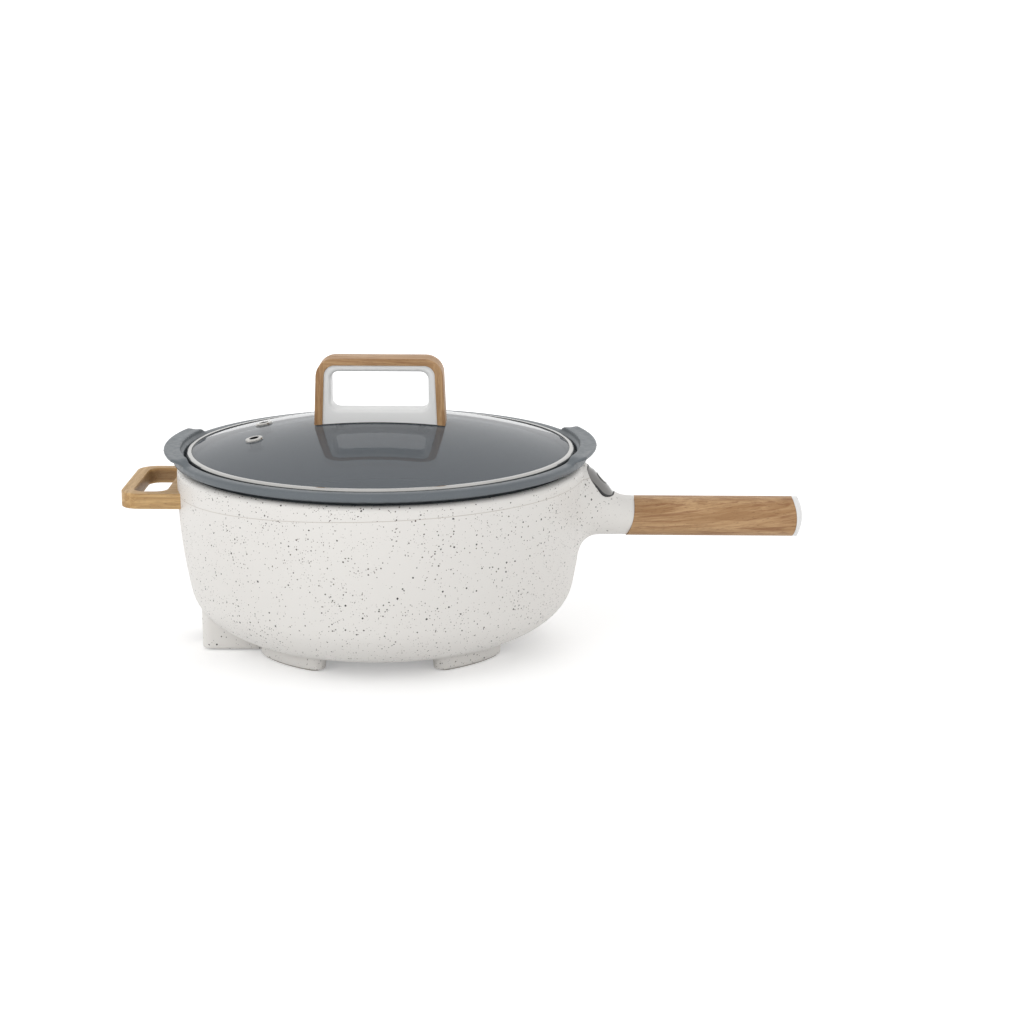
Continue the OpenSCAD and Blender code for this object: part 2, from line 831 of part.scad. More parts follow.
module probe_guide() {
    flange_z = shield_z + shield_t;
    color(steel) rotate_extrude() polygon([[probe_stem_r + snug, guide_low], [guide_r, guide_low],
        [guide_r, flange_z], [guide_flange_r, flange_z],
        [guide_flange_r, flange_z + guide_flange_t], [guide_r, flange_z + guide_flange_t],
        [guide_r, guide_high], [probe_stem_r + snug, guide_high]]);
}

module thermostat_probe() {
    cap_z = pot_z - probe_cap_t;
    stem_low = guide_low - 2 * clip_t - snug;
    color([0.8, 0.8, 0.82]) rotate_extrude() polygon([[0, stem_low], [probe_stem_r, stem_low],
        [probe_stem_r, guide_low - clip_t - snug], [probe_stem_r - groove_d, guide_low - clip_t - snug],
        [probe_stem_r - groove_d, guide_low], [probe_stem_r, guide_low], [probe_stem_r, cap_z],
        [probe_cap_r - probe_skirt_t, cap_z], [probe_cap_r - probe_skirt_t, cap_z - probe_skirt_h],
        [probe_cap_r, cap_z - probe_skirt_h], [probe_cap_r, pot_z - plate_edge],
        [probe_cap_r - plate_edge, pot_z], [0, pot_z]]);
}

module probe_spring() {
    low = shield_z + shield_t + guide_flange_t + spring_wire;
    high = pot_z - probe_cap_t - spring_wire;
    n = spring_turns * spring_steps;
    color(steel) tube([for (i = [0:n]) let (a = 360 * i / spring_steps)
        [spring_r * cos(a), spring_r * sin(a), low + (high - low) * i / n]],
        spring_wire, spring_sides);
}

module probe_clip() {
    color(steel) translate([0, 0, guide_low - clip_t]) difference() {
        cylinder(h = clip_t, r = clip_r);
        translate([0, 0, -over]) cylinder(h = clip_t + 2 * over, r = probe_stem_r - groove_d + snug);
        translate([0, -groove_d * 4, -over]) cube([2 * clip_r, groove_d * 8, clip_t + 2 * over]);
    }
}

module safety_thermostat() {
    color([0.85, 0.82, 0.74]) translate([0, cutout_at, shield_z + shield_t + gap])
        cylinder(h = plate_low - shield_z - shield_t - gap, r = cutout_r);
}

module thermal_fuse() {
    color(white_trim) translate([-fuse_l / 2, fuse_at, plate_low - fuse_r]) rotate([0, 90, 0])
        cylinder(h = fuse_l, r = fuse_r, $fn = 32);
}

// Electrics
module board_corners() {
    for (x = [-1, 1], y = [-1, 1]) translate([board_x + x * (board_l / 2 - pillar_edge),
        y * (board_w / 2 - pillar_edge), 0]) children();
}

module power_board() {
    top = board_z + board_t;
    color([0.16, 0.38, 0.2]) translate([board_x - board_l / 2, -board_w / 2, board_z])
        cube([board_l, board_w, board_t]);
    color(black) translate([board_x - relay_l, board_w / 2 - relay_w - part_edge, top])
        cube([relay_l, relay_w, relay_h]);
    color([0.2, 0.2, 0.35]) for (i = [0, 1])
        translate([board_x - cap_r - part_edge - i * (2 * cap_r + part_edge),
            part_edge + cap_r - board_w / 2, top]) cylinder(h = cap_h, r = cap_r, $fn = 32);
    color(white_trim) for (i = [0:3]) translate([socket_x(i), socket_y(i) - socket_w / 2, top])
        cube([socket_l, socket_w, socket_h]);
}

// Plug sockets on the power board: two towards the inlet, two towards the panel
function socket_x(i) = board_x + (i < 2 ? part_edge - board_l / 2
    : board_l / 2 - part_edge - socket_l);
function socket_y(i) = (i % 2 == 0 ? -1 : 1) * (board_w / 2 - 2 * part_edge - socket_w);

module inlet_housing() {
    color(black) difference() {
        union() {
            along_x(-inlet_x + rebate_t - over, shroud_len) translate([0, inlet_z])
                polygon(rounded(shroud_w, shroud_h, shroud_round));
            along_x(-inlet_x, rebate_t) translate([0, inlet_z])
                polygon(rounded(rebate_w, rebate_h, rebate_round));
        }
        along_x(-inlet_x - over, shroud_deep + over) translate([0, inlet_z])
            polygon(rounded(shroud_w - 2 * shroud_t, shroud_h - 2 * shroud_t,
                shroud_round - shroud_t / 2));
        inlet_pin_places() cube([4 * inlet_x, pin_t + 2 * snug, pin_w + 2 * snug], center = true);
    }
}

module inlet_pin_places() {
    for (p = [[-pin_pitch, -pin_up], [0, pin_up], [pin_pitch, -pin_up]])
        translate([0, p[0], inlet_z + p[1]]) children();
}

module inlet_pins() {
    length = pin_len + shroud_len - shroud_deep + rebate_t + tab_len;
    color(steel) inlet_pin_places()
        translate([-inlet_x + shroud_deep - pin_len + length / 2, 0, 0])
            cube([length, pin_t, pin_w], center = true);
}

module internal_wires() {
    pin_end = -inlet_x + shroud_len + rebate_t + tab_len;
    plug_z = board_z + board_t + socket_h / 2;
    color([0.7, 0.15, 0.12]) for (s = [-1, 1]) {
        a = [pin_end, s * pin_pitch, inlet_z - pin_up];
        d = [socket_x(0), socket_y(s < 0 ? 0 : 1), plug_z];
        tube(curve(a, a + [tab_len, 0, 0], d - [tab_len, 0, 0], d, wire_steps), wire_r, wire_sides);
    }
}

// Control panel
module control_bezel() {
    color(black) on_panel() difference() {
        intersection() {
            translate([0, 0, snug - seat_deep]) cover_block(bezel_t, 2 * pocket_deep);
            barrel(bezel_lift);
        }
        barrel(snug - lens_t - bezel_t);
        translate([0, 0, -pocket_deep - over]) cover_block(-bezel_step, 3 * pocket_deep);
        difference() {
            translate([0, 0, -pocket_deep - over]) cover_block(snug, 3 * pocket_deep);
            barrel(-lens_t);
        }
    }
}

module control_lens() {
    color([0.25, 0.23, 0.22]) on_panel() difference() {
        union() {
            intersection() {
                difference() {
                    barrel(0);
                    barrel(-lens_t);
                }
                translate([0, 0, -pocket_deep]) cover_block(0, 2 * pocket_deep);
            }
            translate([0, 0, lens_rise - lens_t - boss_drop])
                cylinder(h = boss_drop + lens_t / 2, r = button_r + boss_ring_t);
        }
        translate([0, 0, -pocket_deep]) cylinder(h = 2 * pocket_deep, r = button_r + snug);
        lights() cylinder(h = 2 * pocket_deep, r = light_r + snug, $fn = 32);
    }
}

module lights() {
    for (i = [0:light_n - 1])
        translate([light_at, (i - (light_n - 1) / 2) * light_step, -pocket_deep]) children();
}

module indicator_lights() {
    low = pcb_t + led_h;
    color([0.9, 0.55, 0.2]) on_panel() intersection() {
        lights() translate([0, 0, low]) cylinder(h = 2 * pocket_deep, r = light_r, $fn = 32);
        barrel(light_proud);
    }
}

module power_button() {
    flange_z = lens_rise - lens_t - boss_drop;
    low = pcb_t + switch_h + button_travel + stem_gap - pocket_deep;
    color(white_trim) on_panel() {
        translate([0, 0, flange_z - button_flange_t])
            cylinder(h = lens_rise + barrel_lift + button_crown - flange_z + button_flange_t,
                r = button_r);
        translate([0, 0, flange_z - button_flange_t])
            cylinder(h = button_flange_t, r = button_r + button_flange);
        translate([0, 0, low]) cylinder(h = flange_z - low, r = stem_r, $fn = 32);
    }
}

module control_board() {
    color([0.16, 0.38, 0.2]) on_panel() translate([0, 0, -pocket_deep]) {
        difference() {
            linear_extrude(pcb_t) pocket_outline(-gap);
            translate([pocket_mid + pocket_l / 4, 0, -over])
                cylinder(h = pcb_t + 2 * over, r = 2 * wire_r, $fn = 32);
        }
        translate([-switch_w / 2, -switch_w / 2, pcb_t]) cube([switch_w, switch_w, switch_h]);
        for (i = [0:light_n - 1]) translate([light_at, (i - (light_n - 1) / 2) * light_step, pcb_t])
            cylinder(h = led_h, r = light_r, $fn = 32);
    }
}

// Long handle
module handle_core() {
    x0 = neck_end_x - core_socket;
    color(black) difference() {
        along_x(x0, tip_x - core_inset - x0) translate([0, grip_z])
            polygon(rounded(core_w, core_h, core_round));
        along_x(x0 - over, tip_x - core_inset - x0 - core_wall - cap_spigot - bolt_head_h)
            translate([0, grip_z])
            polygon(rounded(core_w - 2 * core_t, core_h - 2 * core_t, core_round - core_t));
        along_x(tip_x - core_inset - cap_spigot - bolt_head_h, core_inset) translate([0, grip_z])
            polygon(rounded(core_w - 2 * core_t, core_h - 2 * core_t, core_round - core_t));
        translate([x0, 0, grip_z]) rotate([0, 90, 0])
            cylinder(h = tip_x, r = bolt_r + gap, $fn = 32);
    }
}

module grip_section(inset) {
    translate([0, grip_z]) polygon(rounded(grip_w - 2 * inset, grip_h - 2 * inset,
        grip_round - inset, 8));
}

module end_cutter(x, r) {
    translate([x - r, 0, grip_z]) rotate([90, 0, 0]) cylinder(h = body_r, r = r, center = true);
}

module handle_sleeve() {
    x0 = neck_end_x - plug_t;
    color(wood) difference() {
        along_x(x0, tip_x - x0) grip_section(0);
        neck_cutter(gap);
        along_x(x0 - over, tip_x) translate([0, grip_z])
            polygon(rounded(core_w + 2 * snug, core_h + 2 * snug, core_round));
        difference() {
            along_x(tip_x - sleeve_end_r, tip_x) translate([0, grip_z])
                square(2 * grip_h, center = true);
            end_cutter(tip_x - sleeve_end, sleeve_end_r);
        }
    }
}

module handle_end_cap() {
    color(white_trim) {
        difference() {
            intersection() {
                along_x(tip_x - 4 * sleeve_end, 5 * sleeve_end) grip_section(0);
                translate([tip_x - cap_dome_r, 0, grip_z]) sphere(r = cap_dome_r);
            }
            end_cutter(tip_x - sleeve_end + gap, sleeve_end_r);
        }
        along_x(core_end + gap, sleeve_end + core_inset / 4) translate([0, grip_z])
            polygon(rounded(core_w - 2 * snug, core_h - 2 * snug, core_round));
        along_x(core_end - cap_spigot + 2 * gap, cap_spigot) translate([0, grip_z])
            polygon(rounded(core_w - 2 * core_t - 2 * snug, core_h - 2 * core_t - 2 * snug,
                core_round - core_t));
    }
}

module handle_bolt() {
    head_x = tip_x - core_inset - cap_spigot - bolt_head_h;
    x0 = neck_end_x - plug_t - nut_t;
    color(steel) translate([head_x, 0, grip_z]) rotate([0, 90, 0])
        screw(head_x - x0, bolt_r, bolt_head_r, bolt_head_h);
}

module handle_nut() {
    color(steel) translate([neck_end_x - plug_t - nut_t, 0, grip_z]) rotate([0, 90, 0])
        difference() {
            cylinder(h = nut_t, r = nut_r, $fn = nut_sides);
            translate([0, 0, -over]) cylinder(h = nut_t + 2 * over, r = bolt_r + snug, $fn = 32);
        }
}

// Side handle
module loop_section() {
    polygon(rounded(loop_bar, loop_t, loop_round, 5));
}

module side_handle() {
    mid_y = (loop_w - loop_bar) / 2;
    turn_r = loop_corner - loop_bar / 2;
    mid_x = -loop_x + loop_bar / 2;
    color(wood) difference() {
        translate([0, 0, loop_z - loop_t / 2]) {
            translate([mid_x, turn_r - mid_y, 0]) rotate([90, 0, 180])
                linear_extrude(2 * (mid_y - turn_r)) loop_section();
            for (s = [-1, 1]) {
                translate([mid_x + turn_r, s * mid_y, 0]) rotate([90, 0, 90])
                    linear_extrude(loop_x - body_r + loop_bar) loop_section();
                translate([mid_x + turn_r, s * (mid_y - turn_r), 0]) rotate(s > 0 ? 90 : 180)
                    rotate_extrude(angle = 90) translate([turn_r, 0]) loop_section();
            }
            translate([-body_r - loop_root, 0, 0]) rotate([90, 0, 90])
                linear_extrude(loop_bar) polygon(rounded(loop_w, loop_t, loop_round, 5));
        }
        translate([0, 0, loop_z - 2 * loop_t]) cylinder(h = 4 * loop_t, r = body_r + snug);
        loop_screw_places() cylinder(h = 2 * loop_screw_l, r = screw_r + snug, center = true,
            $fn = 32);
    }
}

module loop_screw_places() {
    for (s = [-1, 1]) rotate(180 + s * loop_screw_angle)
        translate([inner_r - loop_screw_seat, 0, loop_z - loop_t / 2]) rotate([0, -90, 0])
        children();
}

module side_handle_screws() {
    color(steel) loop_screw_places()
        screw(loop_screw_l - gap, screw_r, loop_screw_head, loop_screw_head_h);
}

// Pot
function pot_side(off) = [for (i = [0:corner_steps])
    let (a = 90 - (90 - pot_lean) * i / corner_steps)
    [pot_side_r - pot_corner_w + (pot_corner_w - off) * cos(a),
     pot_z + pot_corner_h - (pot_corner_h - off) * sin(a)]];

module inner_pot() {
    lean_in = pot_wall / cos(pot_lean);
    seat_r = lid_r + seat_gap;
    inner = pot_side(pot_wall);
    color(coating) {
        rotate_extrude() polygon(concat(
            [[0, pot_z]], pot_side(0),
            [[pot_r, seat_z - seat_t - seat_t], [pot_r + seat_t, seat_z - seat_t],
             [seat_r + flange_wall, seat_z - seat_t],
             [seat_r + flange_wall, flange_top - flange_wall],
             [flange_r - flange_wall, flange_top - flange_wall],
             [flange_r - flange_wall, flange_low], [flange_r, flange_low]],
            arc(flange_r - flange_round, flange_top - flange_round, flange_round, 0, 90, 5),
            [[seat_r, flange_top], [seat_r, seat_z], [pot_r - lean_in, seat_z]],
            [for (i = [corner_steps:-1:1]) inner[i]],
            [[0, pot_z + pot_wall]]));
        rotate(pot_turn) for (a = [0, 180]) rotate(a) ear();
    }
}

// Share of an ear's reach and lift at an angle from its middle line
function ear_share(a) = smooth((ear_foot - abs(a)) / (ear_foot - ear_flat));

// One ear: its swept section, cut to its outline from above and from the side
module ear() {
    inner = lid_r + seat_gap + flange_wall;
    low = flange_top - flange_wall / 2;
    top = flange_top + ear_lift;
    angles = [for (k = [0:ear_steps]) ear_foot * sin(180 * k / ear_steps - 90)];
    intersection() {
        rotate(-ear_foot) rotate_extrude(angle = 2 * ear_foot) polygon(concat(
            [[inner, low], [ear_root_r, low], [ear_root_r, flange_top],
             [ear_r + over, top - ear_t]],
            [for (v = [0:0.25:1])
                [ear_r + over - (ear_r + over - inner) * v, top - ear_dish * sin(180 * v)]]));
        linear_extrude(2 * rim_z) polygon(concat([[0, 0]],
            [for (a = angles) (ear_root_r + (ear_r - ear_root_r) * ear_share(a))
                * [cos(a), sin(a)]]));
        along_x(0, 2 * ear_r) polygon(concat([[ear_r, rim_z], [-ear_r, rim_z]],
            [for (a = angles) [ear_r * sin(a), flange_top - gap + (ear_lift + gap) * ear_share(a)]]));
    }
}

// Lid
module lid_glass() {
    color([0.75, 0.8, 0.8, 0.4]) difference() {
        intersection() {
            translate([0, 0, dome_z - dome_r]) sphere(r = dome_r, $fn = dome_sides);
            cylinder(h = 2 * rim_z, r = glass_r);
        }
        translate([0, 0, dome_z - dome_r]) sphere(r = dome_r - glass_t, $fn = dome_sides);
        vents() cylinder(h = 4 * glass_t, r = vent_tube + snug, center = true, $fn = 32);
        lid_screw_places() cylinder(h = 2 * rim_z, r = glass_hole_r, $fn = 32);
    }
}

module lid_rim() {
    in_r = lid_r - rim_w;
    color(steel) rotate_extrude() polygon(concat(
        [[lid_r - rim_bottom_w, lid_low]],
        arc(lid_r - rim_round, lid_low + rim_round, rim_round, -90, 0, 5),
        arc(lid_r - rim_round, lid_low + rim_h - rim_round, rim_round, 0, 90, 5),
        [[in_r, lid_low + rim_h], [in_r, glass_top(in_r) + snug],
         [glass_r + snug, glass_top(glass_r) + snug],
         [glass_r + snug, glass_low(glass_r) - gap],
         [lid_r - rim_bottom_w, glass_low(lid_r - rim_bottom_w) - gap]]));
}

module vents() {
    for (s = [-1, 1]) rotate(180 + s * vent_angle / 2)
        translate([vent_pitch, 0, glass_top(vent_pitch)]) rotate([0, vent_tilt, 0]) children();
}

module lid_vent_eyelets() {
    color(steel) vents() rotate_extrude($fn = 48) polygon(concat(
        [[vent_bore, -glass_t - 2 * vent_t], [vent_r, -glass_t - vent_t - gap],
         [vent_r, -glass_t - gap], [vent_tube - gap, -glass_t - gap],
         [vent_tube - gap, gap], [vent_r, gap]],
        arc(vent_r - vent_roll, vent_roll, vent_roll, vent_lip_angle, 90, 4),
        arc(vent_bore + vent_roll, vent_roll, vent_roll, 90, 180, 4)));
}

// Outline of the lid handle's outer face, moved in by the leg and top thickness
function knob_line(leg, top, low) =
    let (w = knob_w / 2 - leg, t = knob_top - top, r = knob_corner - (leg + top) / 2)
    concat([[w, low]], arc(w - leg_lean - r, t - r, r, 0, 90, 8),
        arc(leg_lean + r - w, t - r, r, 90, 180, 8), [[-w, low]]);

module knob_part(depth) {
    difference() {
        translate([0, depth / 2, 0]) rotate([90, 0, 0]) linear_extrude(depth) children();
        translate([0, 0, dome_z - dome_r]) sphere(r = dome_r + gasket_t, $fn = dome_sides);
    }
}

module lid_handle_band() {
    low = dome_z - leg_t;
    color(wood) knob_part(knob_d) difference() {
        polygon(knob_line(0, 0, low));
        polygon(knob_line(leg_t, top_t, low - over));
    }
}

module lid_handle_frame() {
    low = dome_z - leg_t;
    hole_z = hole_top - hole_h / 2;
    depth = knob_d - 2 * frame_inset;
    color(white_trim) difference() {
        knob_part(depth) difference() {
            polygon(knob_line(leg_t + gap, top_t + gap, low));
            translate([0, hole_z]) polygon(rounded(hole_w, hole_h, hole_corner));
        }
        for (s = [0, 180]) rotate(s) translate([0, -depth / 2, hole_z])
            loft([for (u = [1, 0]) let (g = hole_bevel - u * (hole_bevel + over))
                [for (p = rounded(hole_w + 2 * g, hole_h + g, hole_corner + g / 2))
                    [p[0], u * (hole_bevel + over), p[1]]]]);
        translate([0, 0, dome_z]) cube([core_hollow_w, core_hollow_d, 2 * core_hollow_h],
            center = true);
        lid_screw_places() cylinder(h = glass_top(lid_screw_at) + lid_screw_bite,
            r = lid_screw_r + snug, $fn = 32);
    }
}

module lid_handle_gasket() {
    w = knob_w - 2 * leg_t - 2 * gasket_inset;
    d = knob_d - 2 * frame_inset - 2 * gasket_inset;
    color([0.3, 0.3, 0.3]) difference() {
        intersection() {
            translate([0, 0, dome_z - dome_r]) sphere(r = dome_r + gasket_t, $fn = dome_sides);
            translate([0, 0, rim_z]) linear_extrude(rim_z) polygon(rounded(w, d, d / 4));
        }
        translate([0, 0, dome_z - dome_r]) sphere(r = dome_r, $fn = dome_sides);
        translate([0, 0, rim_z]) linear_extrude(rim_z)
            polygon(rounded(core_hollow_w, core_hollow_d, core_hollow_d / 4));
        lid_screw_places() cylinder(h = 2 * rim_z, r = glass_hole_r, $fn = 32);
    }
}

module lid_screw_places() {
    for (s = [-1, 1]) translate([s * lid_screw_at, 0, 0]) children();
}

module lid_screw_washers() {
    color(black) lid_screw_places()
        translate([0, 0, glass_low(lid_screw_at + washer_r) - washer_t]) difference() {
            cylinder(h = washer_t, r = washer_r, $fn = 48);
            translate([0, 0, -over]) cylinder(h = washer_t + 2 * over, r = lid_screw_r + gap,
                $fn = 32);
        }
}

module lid_screws() {
    head_z = glass_low(lid_screw_at + washer_r) - washer_t;
    tip_z = glass_top(lid_screw_at) + lid_screw_bite - gap;
    color(steel) lid_screw_places() translate([0, 0, head_z]) rotate([180, 0, 0])
        screw(tip_z - head_z, lid_screw_r, lid_screw_head_r, lid_screw_head_h);
}

outer_shell();
top_ring();
base_cover();
base_screws();
foot_pads();
heat_shield();
shield_screws();
heating_plate();
heating_element();
plate_spacers();
plate_screws();
probe_guide();
thermostat_probe();
probe_spring();
probe_clip();
safety_thermostat();
thermal_fuse();
power_board();
internal_wires();
inlet_housing();
inlet_pins();
control_bezel();
control_lens();
control_board();
indicator_lights();
power_button();
handle_core();
handle_sleeve();
handle_end_cap();
handle_bolt();
handle_nut();
side_handle();
side_handle_screws();
inner_pot();
lid_glass();
lid_rim();
lid_vent_eyelets();
lid_handle_gasket();
lid_handle_frame();
lid_handle_band();
lid_screws();
lid_screw_washers();
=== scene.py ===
# %% [markdown]
# # Dressing an electric skillet
# The CAD model gives each part its true size and place. This notebook gives the parts
# that show a finer surface, and every part a material. Each step first says what the
# real thing is, then how it is made here. Lengths are in millimetres and turned to
# metres once, in the helper that makes a mesh, because Blender and the frame use metres.

# %% Load the CAD frame
import math

import bpy
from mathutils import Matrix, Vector


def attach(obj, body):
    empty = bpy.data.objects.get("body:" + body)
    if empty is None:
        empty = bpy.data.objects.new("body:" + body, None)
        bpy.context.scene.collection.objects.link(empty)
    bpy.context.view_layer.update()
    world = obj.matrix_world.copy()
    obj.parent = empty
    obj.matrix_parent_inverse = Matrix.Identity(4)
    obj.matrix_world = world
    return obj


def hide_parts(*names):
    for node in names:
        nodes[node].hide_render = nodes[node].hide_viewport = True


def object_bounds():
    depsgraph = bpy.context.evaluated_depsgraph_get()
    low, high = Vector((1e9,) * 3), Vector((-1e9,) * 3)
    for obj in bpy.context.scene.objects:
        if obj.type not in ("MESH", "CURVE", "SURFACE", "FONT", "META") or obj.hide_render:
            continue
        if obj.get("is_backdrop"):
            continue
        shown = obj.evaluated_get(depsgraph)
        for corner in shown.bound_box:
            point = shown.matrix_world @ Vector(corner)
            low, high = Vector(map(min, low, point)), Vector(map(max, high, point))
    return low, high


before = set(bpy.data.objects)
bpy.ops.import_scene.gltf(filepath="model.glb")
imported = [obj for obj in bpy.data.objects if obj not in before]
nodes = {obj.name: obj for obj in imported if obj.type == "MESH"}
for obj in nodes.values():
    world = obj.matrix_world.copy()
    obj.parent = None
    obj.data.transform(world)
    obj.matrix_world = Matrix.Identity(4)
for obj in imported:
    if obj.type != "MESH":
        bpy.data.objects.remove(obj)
cad_low, cad_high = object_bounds()
spans = [round(1000 * (high - low), 1) for low, high in zip(cad_low, cad_high)]
print(len(nodes), "CAD nodes,", spans, "mm")

# %% [markdown]
# ## Camera, floor and light
# A product photograph is taken from far away with a long lens, a little above the
# object, on a white sweep under large soft lamps. The camera below stands where the
# photographer's stood. The floor keeps the object's shadow but looks white, through
# Light Path, because raising the lamps instead would bleach the pale housing.

# %% Place the camera
CAMERA_PLACE, CAMERA_DIP, CAMERA_YAW = (0.145, -1.773, 0.527), 13.57, 1.51
bpy.ops.object.select_all(action="DESELECT")
bpy.ops.object.camera_add(
    location=CAMERA_PLACE,
    rotation=(math.radians(90 - CAMERA_DIP), 0, math.radians(CAMERA_YAW)))
camera = bpy.context.object
camera.name = "camera"
camera.data.lens = 85
camera.data.sensor_width = 36
bpy.context.scene.camera = camera
bpy.context.scene.view_settings.view_transform = "Standard"
print("camera", [round(c, 3) for c in camera.location])


# %% Hang the lamps
def softbox(name, place, aim, size, watts):
    """A square lamp that faces the point aim."""
    bpy.ops.object.light_add(type="AREA", location=place)
    lamp = bpy.context.object
    lamp.name = name
    lamp.data.size = size
    lamp.data.energy = watts
    lamp.visible_glossy = False
    lamp.rotation_euler = (Vector(aim) - Vector(place)).to_track_quat("-Z", "Y").to_euler()


softbox("key_lamp", (-1.4, -1.7, 1.3), (0, 0, 0.08), 1.9, 20)
softbox("fill_lamp", (1.6, -1.4, 0.9), (0, 0, 0.08), 1.4, 7)
softbox("back_lamp", (0.2, 1.9, 1.5), (0, 0, 0.12), 1.8, 14)

# %% [markdown]
# ## Shader maths as plain expressions
# A material is a graph of nodes. Wiring it by hand hides the idea behind it, so Wire
# wraps a socket and lets Python's own operators add the Math nodes: 1 - mask * 0.4
# reads as what it does. Finish is one material, and its method add makes any other
# node from its type, its settings and its inputs.


# %% Wires and finishes
class Wire:
    """One output socket. Arithmetic on it adds Math nodes to its finish."""

    def __init__(self, finish, socket):
        self.finish = finish
        self.socket = socket

    def of(self, name):
        return Wire(self.finish, self.socket.node.outputs[name])

    def maths(self, operation, *values):
        return self.finish.add("ShaderNodeMath", {"operation": operation}, dict(enumerate(values)))

    def __add__(self, other):
        return self.maths("ADD", self, other)

    def __sub__(self, other):
        return self.maths("SUBTRACT", self, other)

    def __rsub__(self, other):
        return self.maths("SUBTRACT", other, self)

    def __mul__(self, other):
        return self.maths("MULTIPLY", self, other)

    def __gt__(self, other):
        return self.maths("GREATER_THAN", self, other)

    def __abs__(self):
        return self.maths("ABSOLUTE", self)

    __rmul__ = __mul__

    def spread(self, low, high, to_low=0.0, to_high=1.0):
        """The value moved from low..high to to_low..to_high, smoothly and held inside."""
        return self.finish.add("ShaderNodeMapRange", {"interpolation_type": "SMOOTHSTEP"},
                               {"Value": self, "From Min": low, "From Max": high,
                                "To Min": to_low, "To Max": to_high})


class Finish:
    """A material with one Principled shader."""

    def __init__(self, name, **sockets):
        self.material = bpy.data.materials.new(name)
        self.material.use_nodes = True
        self.tree = self.material.node_tree
        self.tree.nodes.clear()
        self.shader = self.tree.nodes.new("ShaderNodeBsdfPrincipled")
        self.out = self.tree.nodes.new("ShaderNodeOutputMaterial")
        self.tree.links.new(self.shader.outputs[0], self.out.inputs["Surface"])
        for key, value in sockets.items():
            self.shader.inputs[key.replace("_", " ")].default_value = value
        self.place = self.add("ShaderNodeTexCoord", output="Object")

    def add(self, kind, settings=None, inputs=None, output=0):
        node = self.tree.nodes.new(kind)
        for name, value in (settings or {}).items():
            setattr(node, name, value)
        for key, value in (inputs or {}).items():
            if isinstance(value, Wire):
                self.tree.links.new(value.socket, node.inputs[key])
            else:
                node.inputs[key].default_value = value
        return Wire(self, node.outputs[output])

    def set(self, socket, wire):
        self.tree.links.new(wire.socket, self.shader.inputs[socket])

    def noise(self, scale, detail=2.0, rough=0.5, place=None, output=0):
        return self.add("ShaderNodeTexNoise", None,
                        {"Vector": place or self.place, "Scale": scale, "Detail": detail,
                         "Roughness": rough}, output)

    def split(self):
        """The place as three wires: itself for X, and its of("Y") and of("Z")."""
        return self.add("ShaderNodeSeparateXYZ", None, {"Vector": self.place})

    def radius(self):
        """The distance from the Z axis."""
        split = self.split()
        flat = self.add("ShaderNodeCombineXYZ", None, {"X": split, "Y": split.of("Y")})
        return self.add("ShaderNodeVectorMath", {"operation": "LENGTH"}, {0: flat}, "Value")

    def mixed(self, share, first, second):
        return self.add("ShaderNodeMix", {"data_type": "RGBA"},
                        {0: share, 6: first, 7: second}, 2)

    def bump(self, height, distance, strength):
        self.set("Normal", self.add("ShaderNodeBump", None,
                                    {"Height": height, "Distance": distance,
                                     "Strength": strength}))


def colour(red, green, blue, alpha=1.0):
    """A colour from its 0 to 255 values on a screen."""
    def linear(v):
        v /= 255
        return v / 12.92 if v <= 0.04045 else ((v + 0.055) / 1.055) ** 2.4
    return (linear(red), linear(green), linear(blue), alpha)


print("a mid grey is", [round(v, 3) for v in colour(128, 128, 128)])

# %% [markdown]
# ## White floor that keeps a shadow
# The floor is a large plane. Seen directly, or in glass and metal, it should be as
# white as the sky, yet still darken under the object. A diffuse surface lit by these
# lamps is a little under white, so a small glow is added for those rays alone.

# %% Floor and sky
bpy.ops.mesh.primitive_plane_add(size=80, location=(0, 0, 0))
floor = bpy.context.object
floor.name = "floor"
floor_paint = Finish("floor_paint", Base_Color=(0.86, 0.86, 0.86, 1), Roughness=0.9)
path = floor_paint.add("ShaderNodeLightPath", output="Is Camera Ray")
seen = path.maths("MAXIMUM", path, path.of("Is Glossy Ray"))
seen = seen.maths("MAXIMUM", seen, path.of("Is Transmission Ray"))
floor_paint.shader.inputs["Emission Color"].default_value = (1, 1, 1, 1)
far = floor_paint.radius()
floor_paint.set("Emission Strength", seen * far.spread(0.35, 3.0, 0.3, 1.0))
floor.data.materials.append(floor_paint.material)
floor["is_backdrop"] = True

world = bpy.data.worlds.new("sky")
bpy.context.scene.world = world
world.use_nodes = True
sky = world.node_tree
sky.nodes.clear()
SKY_LIGHTS, SKY_SEEN = 0.7, 1.0
sky_path = sky.nodes.new("ShaderNodeLightPath")
sky_any = sky.nodes.new("ShaderNodeMath")
sky_mix = sky.nodes.new("ShaderNodeMixShader")
sky_out = sky.nodes.new("ShaderNodeOutputWorld")
sky_any.operation = "MAXIMUM"
sky.links.new(sky_path.outputs["Is Camera Ray"], sky_any.inputs[0])
sky.links.new(sky_path.outputs["Is Glossy Ray"], sky_any.inputs[1])
sky.links.new(sky_any.outputs[0], sky_mix.inputs[0])
for slot, strength in ((1, SKY_LIGHTS), (2, SKY_SEEN)):
    glow = sky.nodes.new("ShaderNodeBackground")
    glow.inputs["Strength"].default_value = strength
    glow.inputs["Color"].default_value = (1, 1, 1, 1)
    sky.links.new(glow.outputs[0], sky_mix.inputs[slot])
sky.links.new(sky_mix.outputs[0], sky_out.inputs["Surface"])
print("floor and sky are", floor.name, "and", world.name)

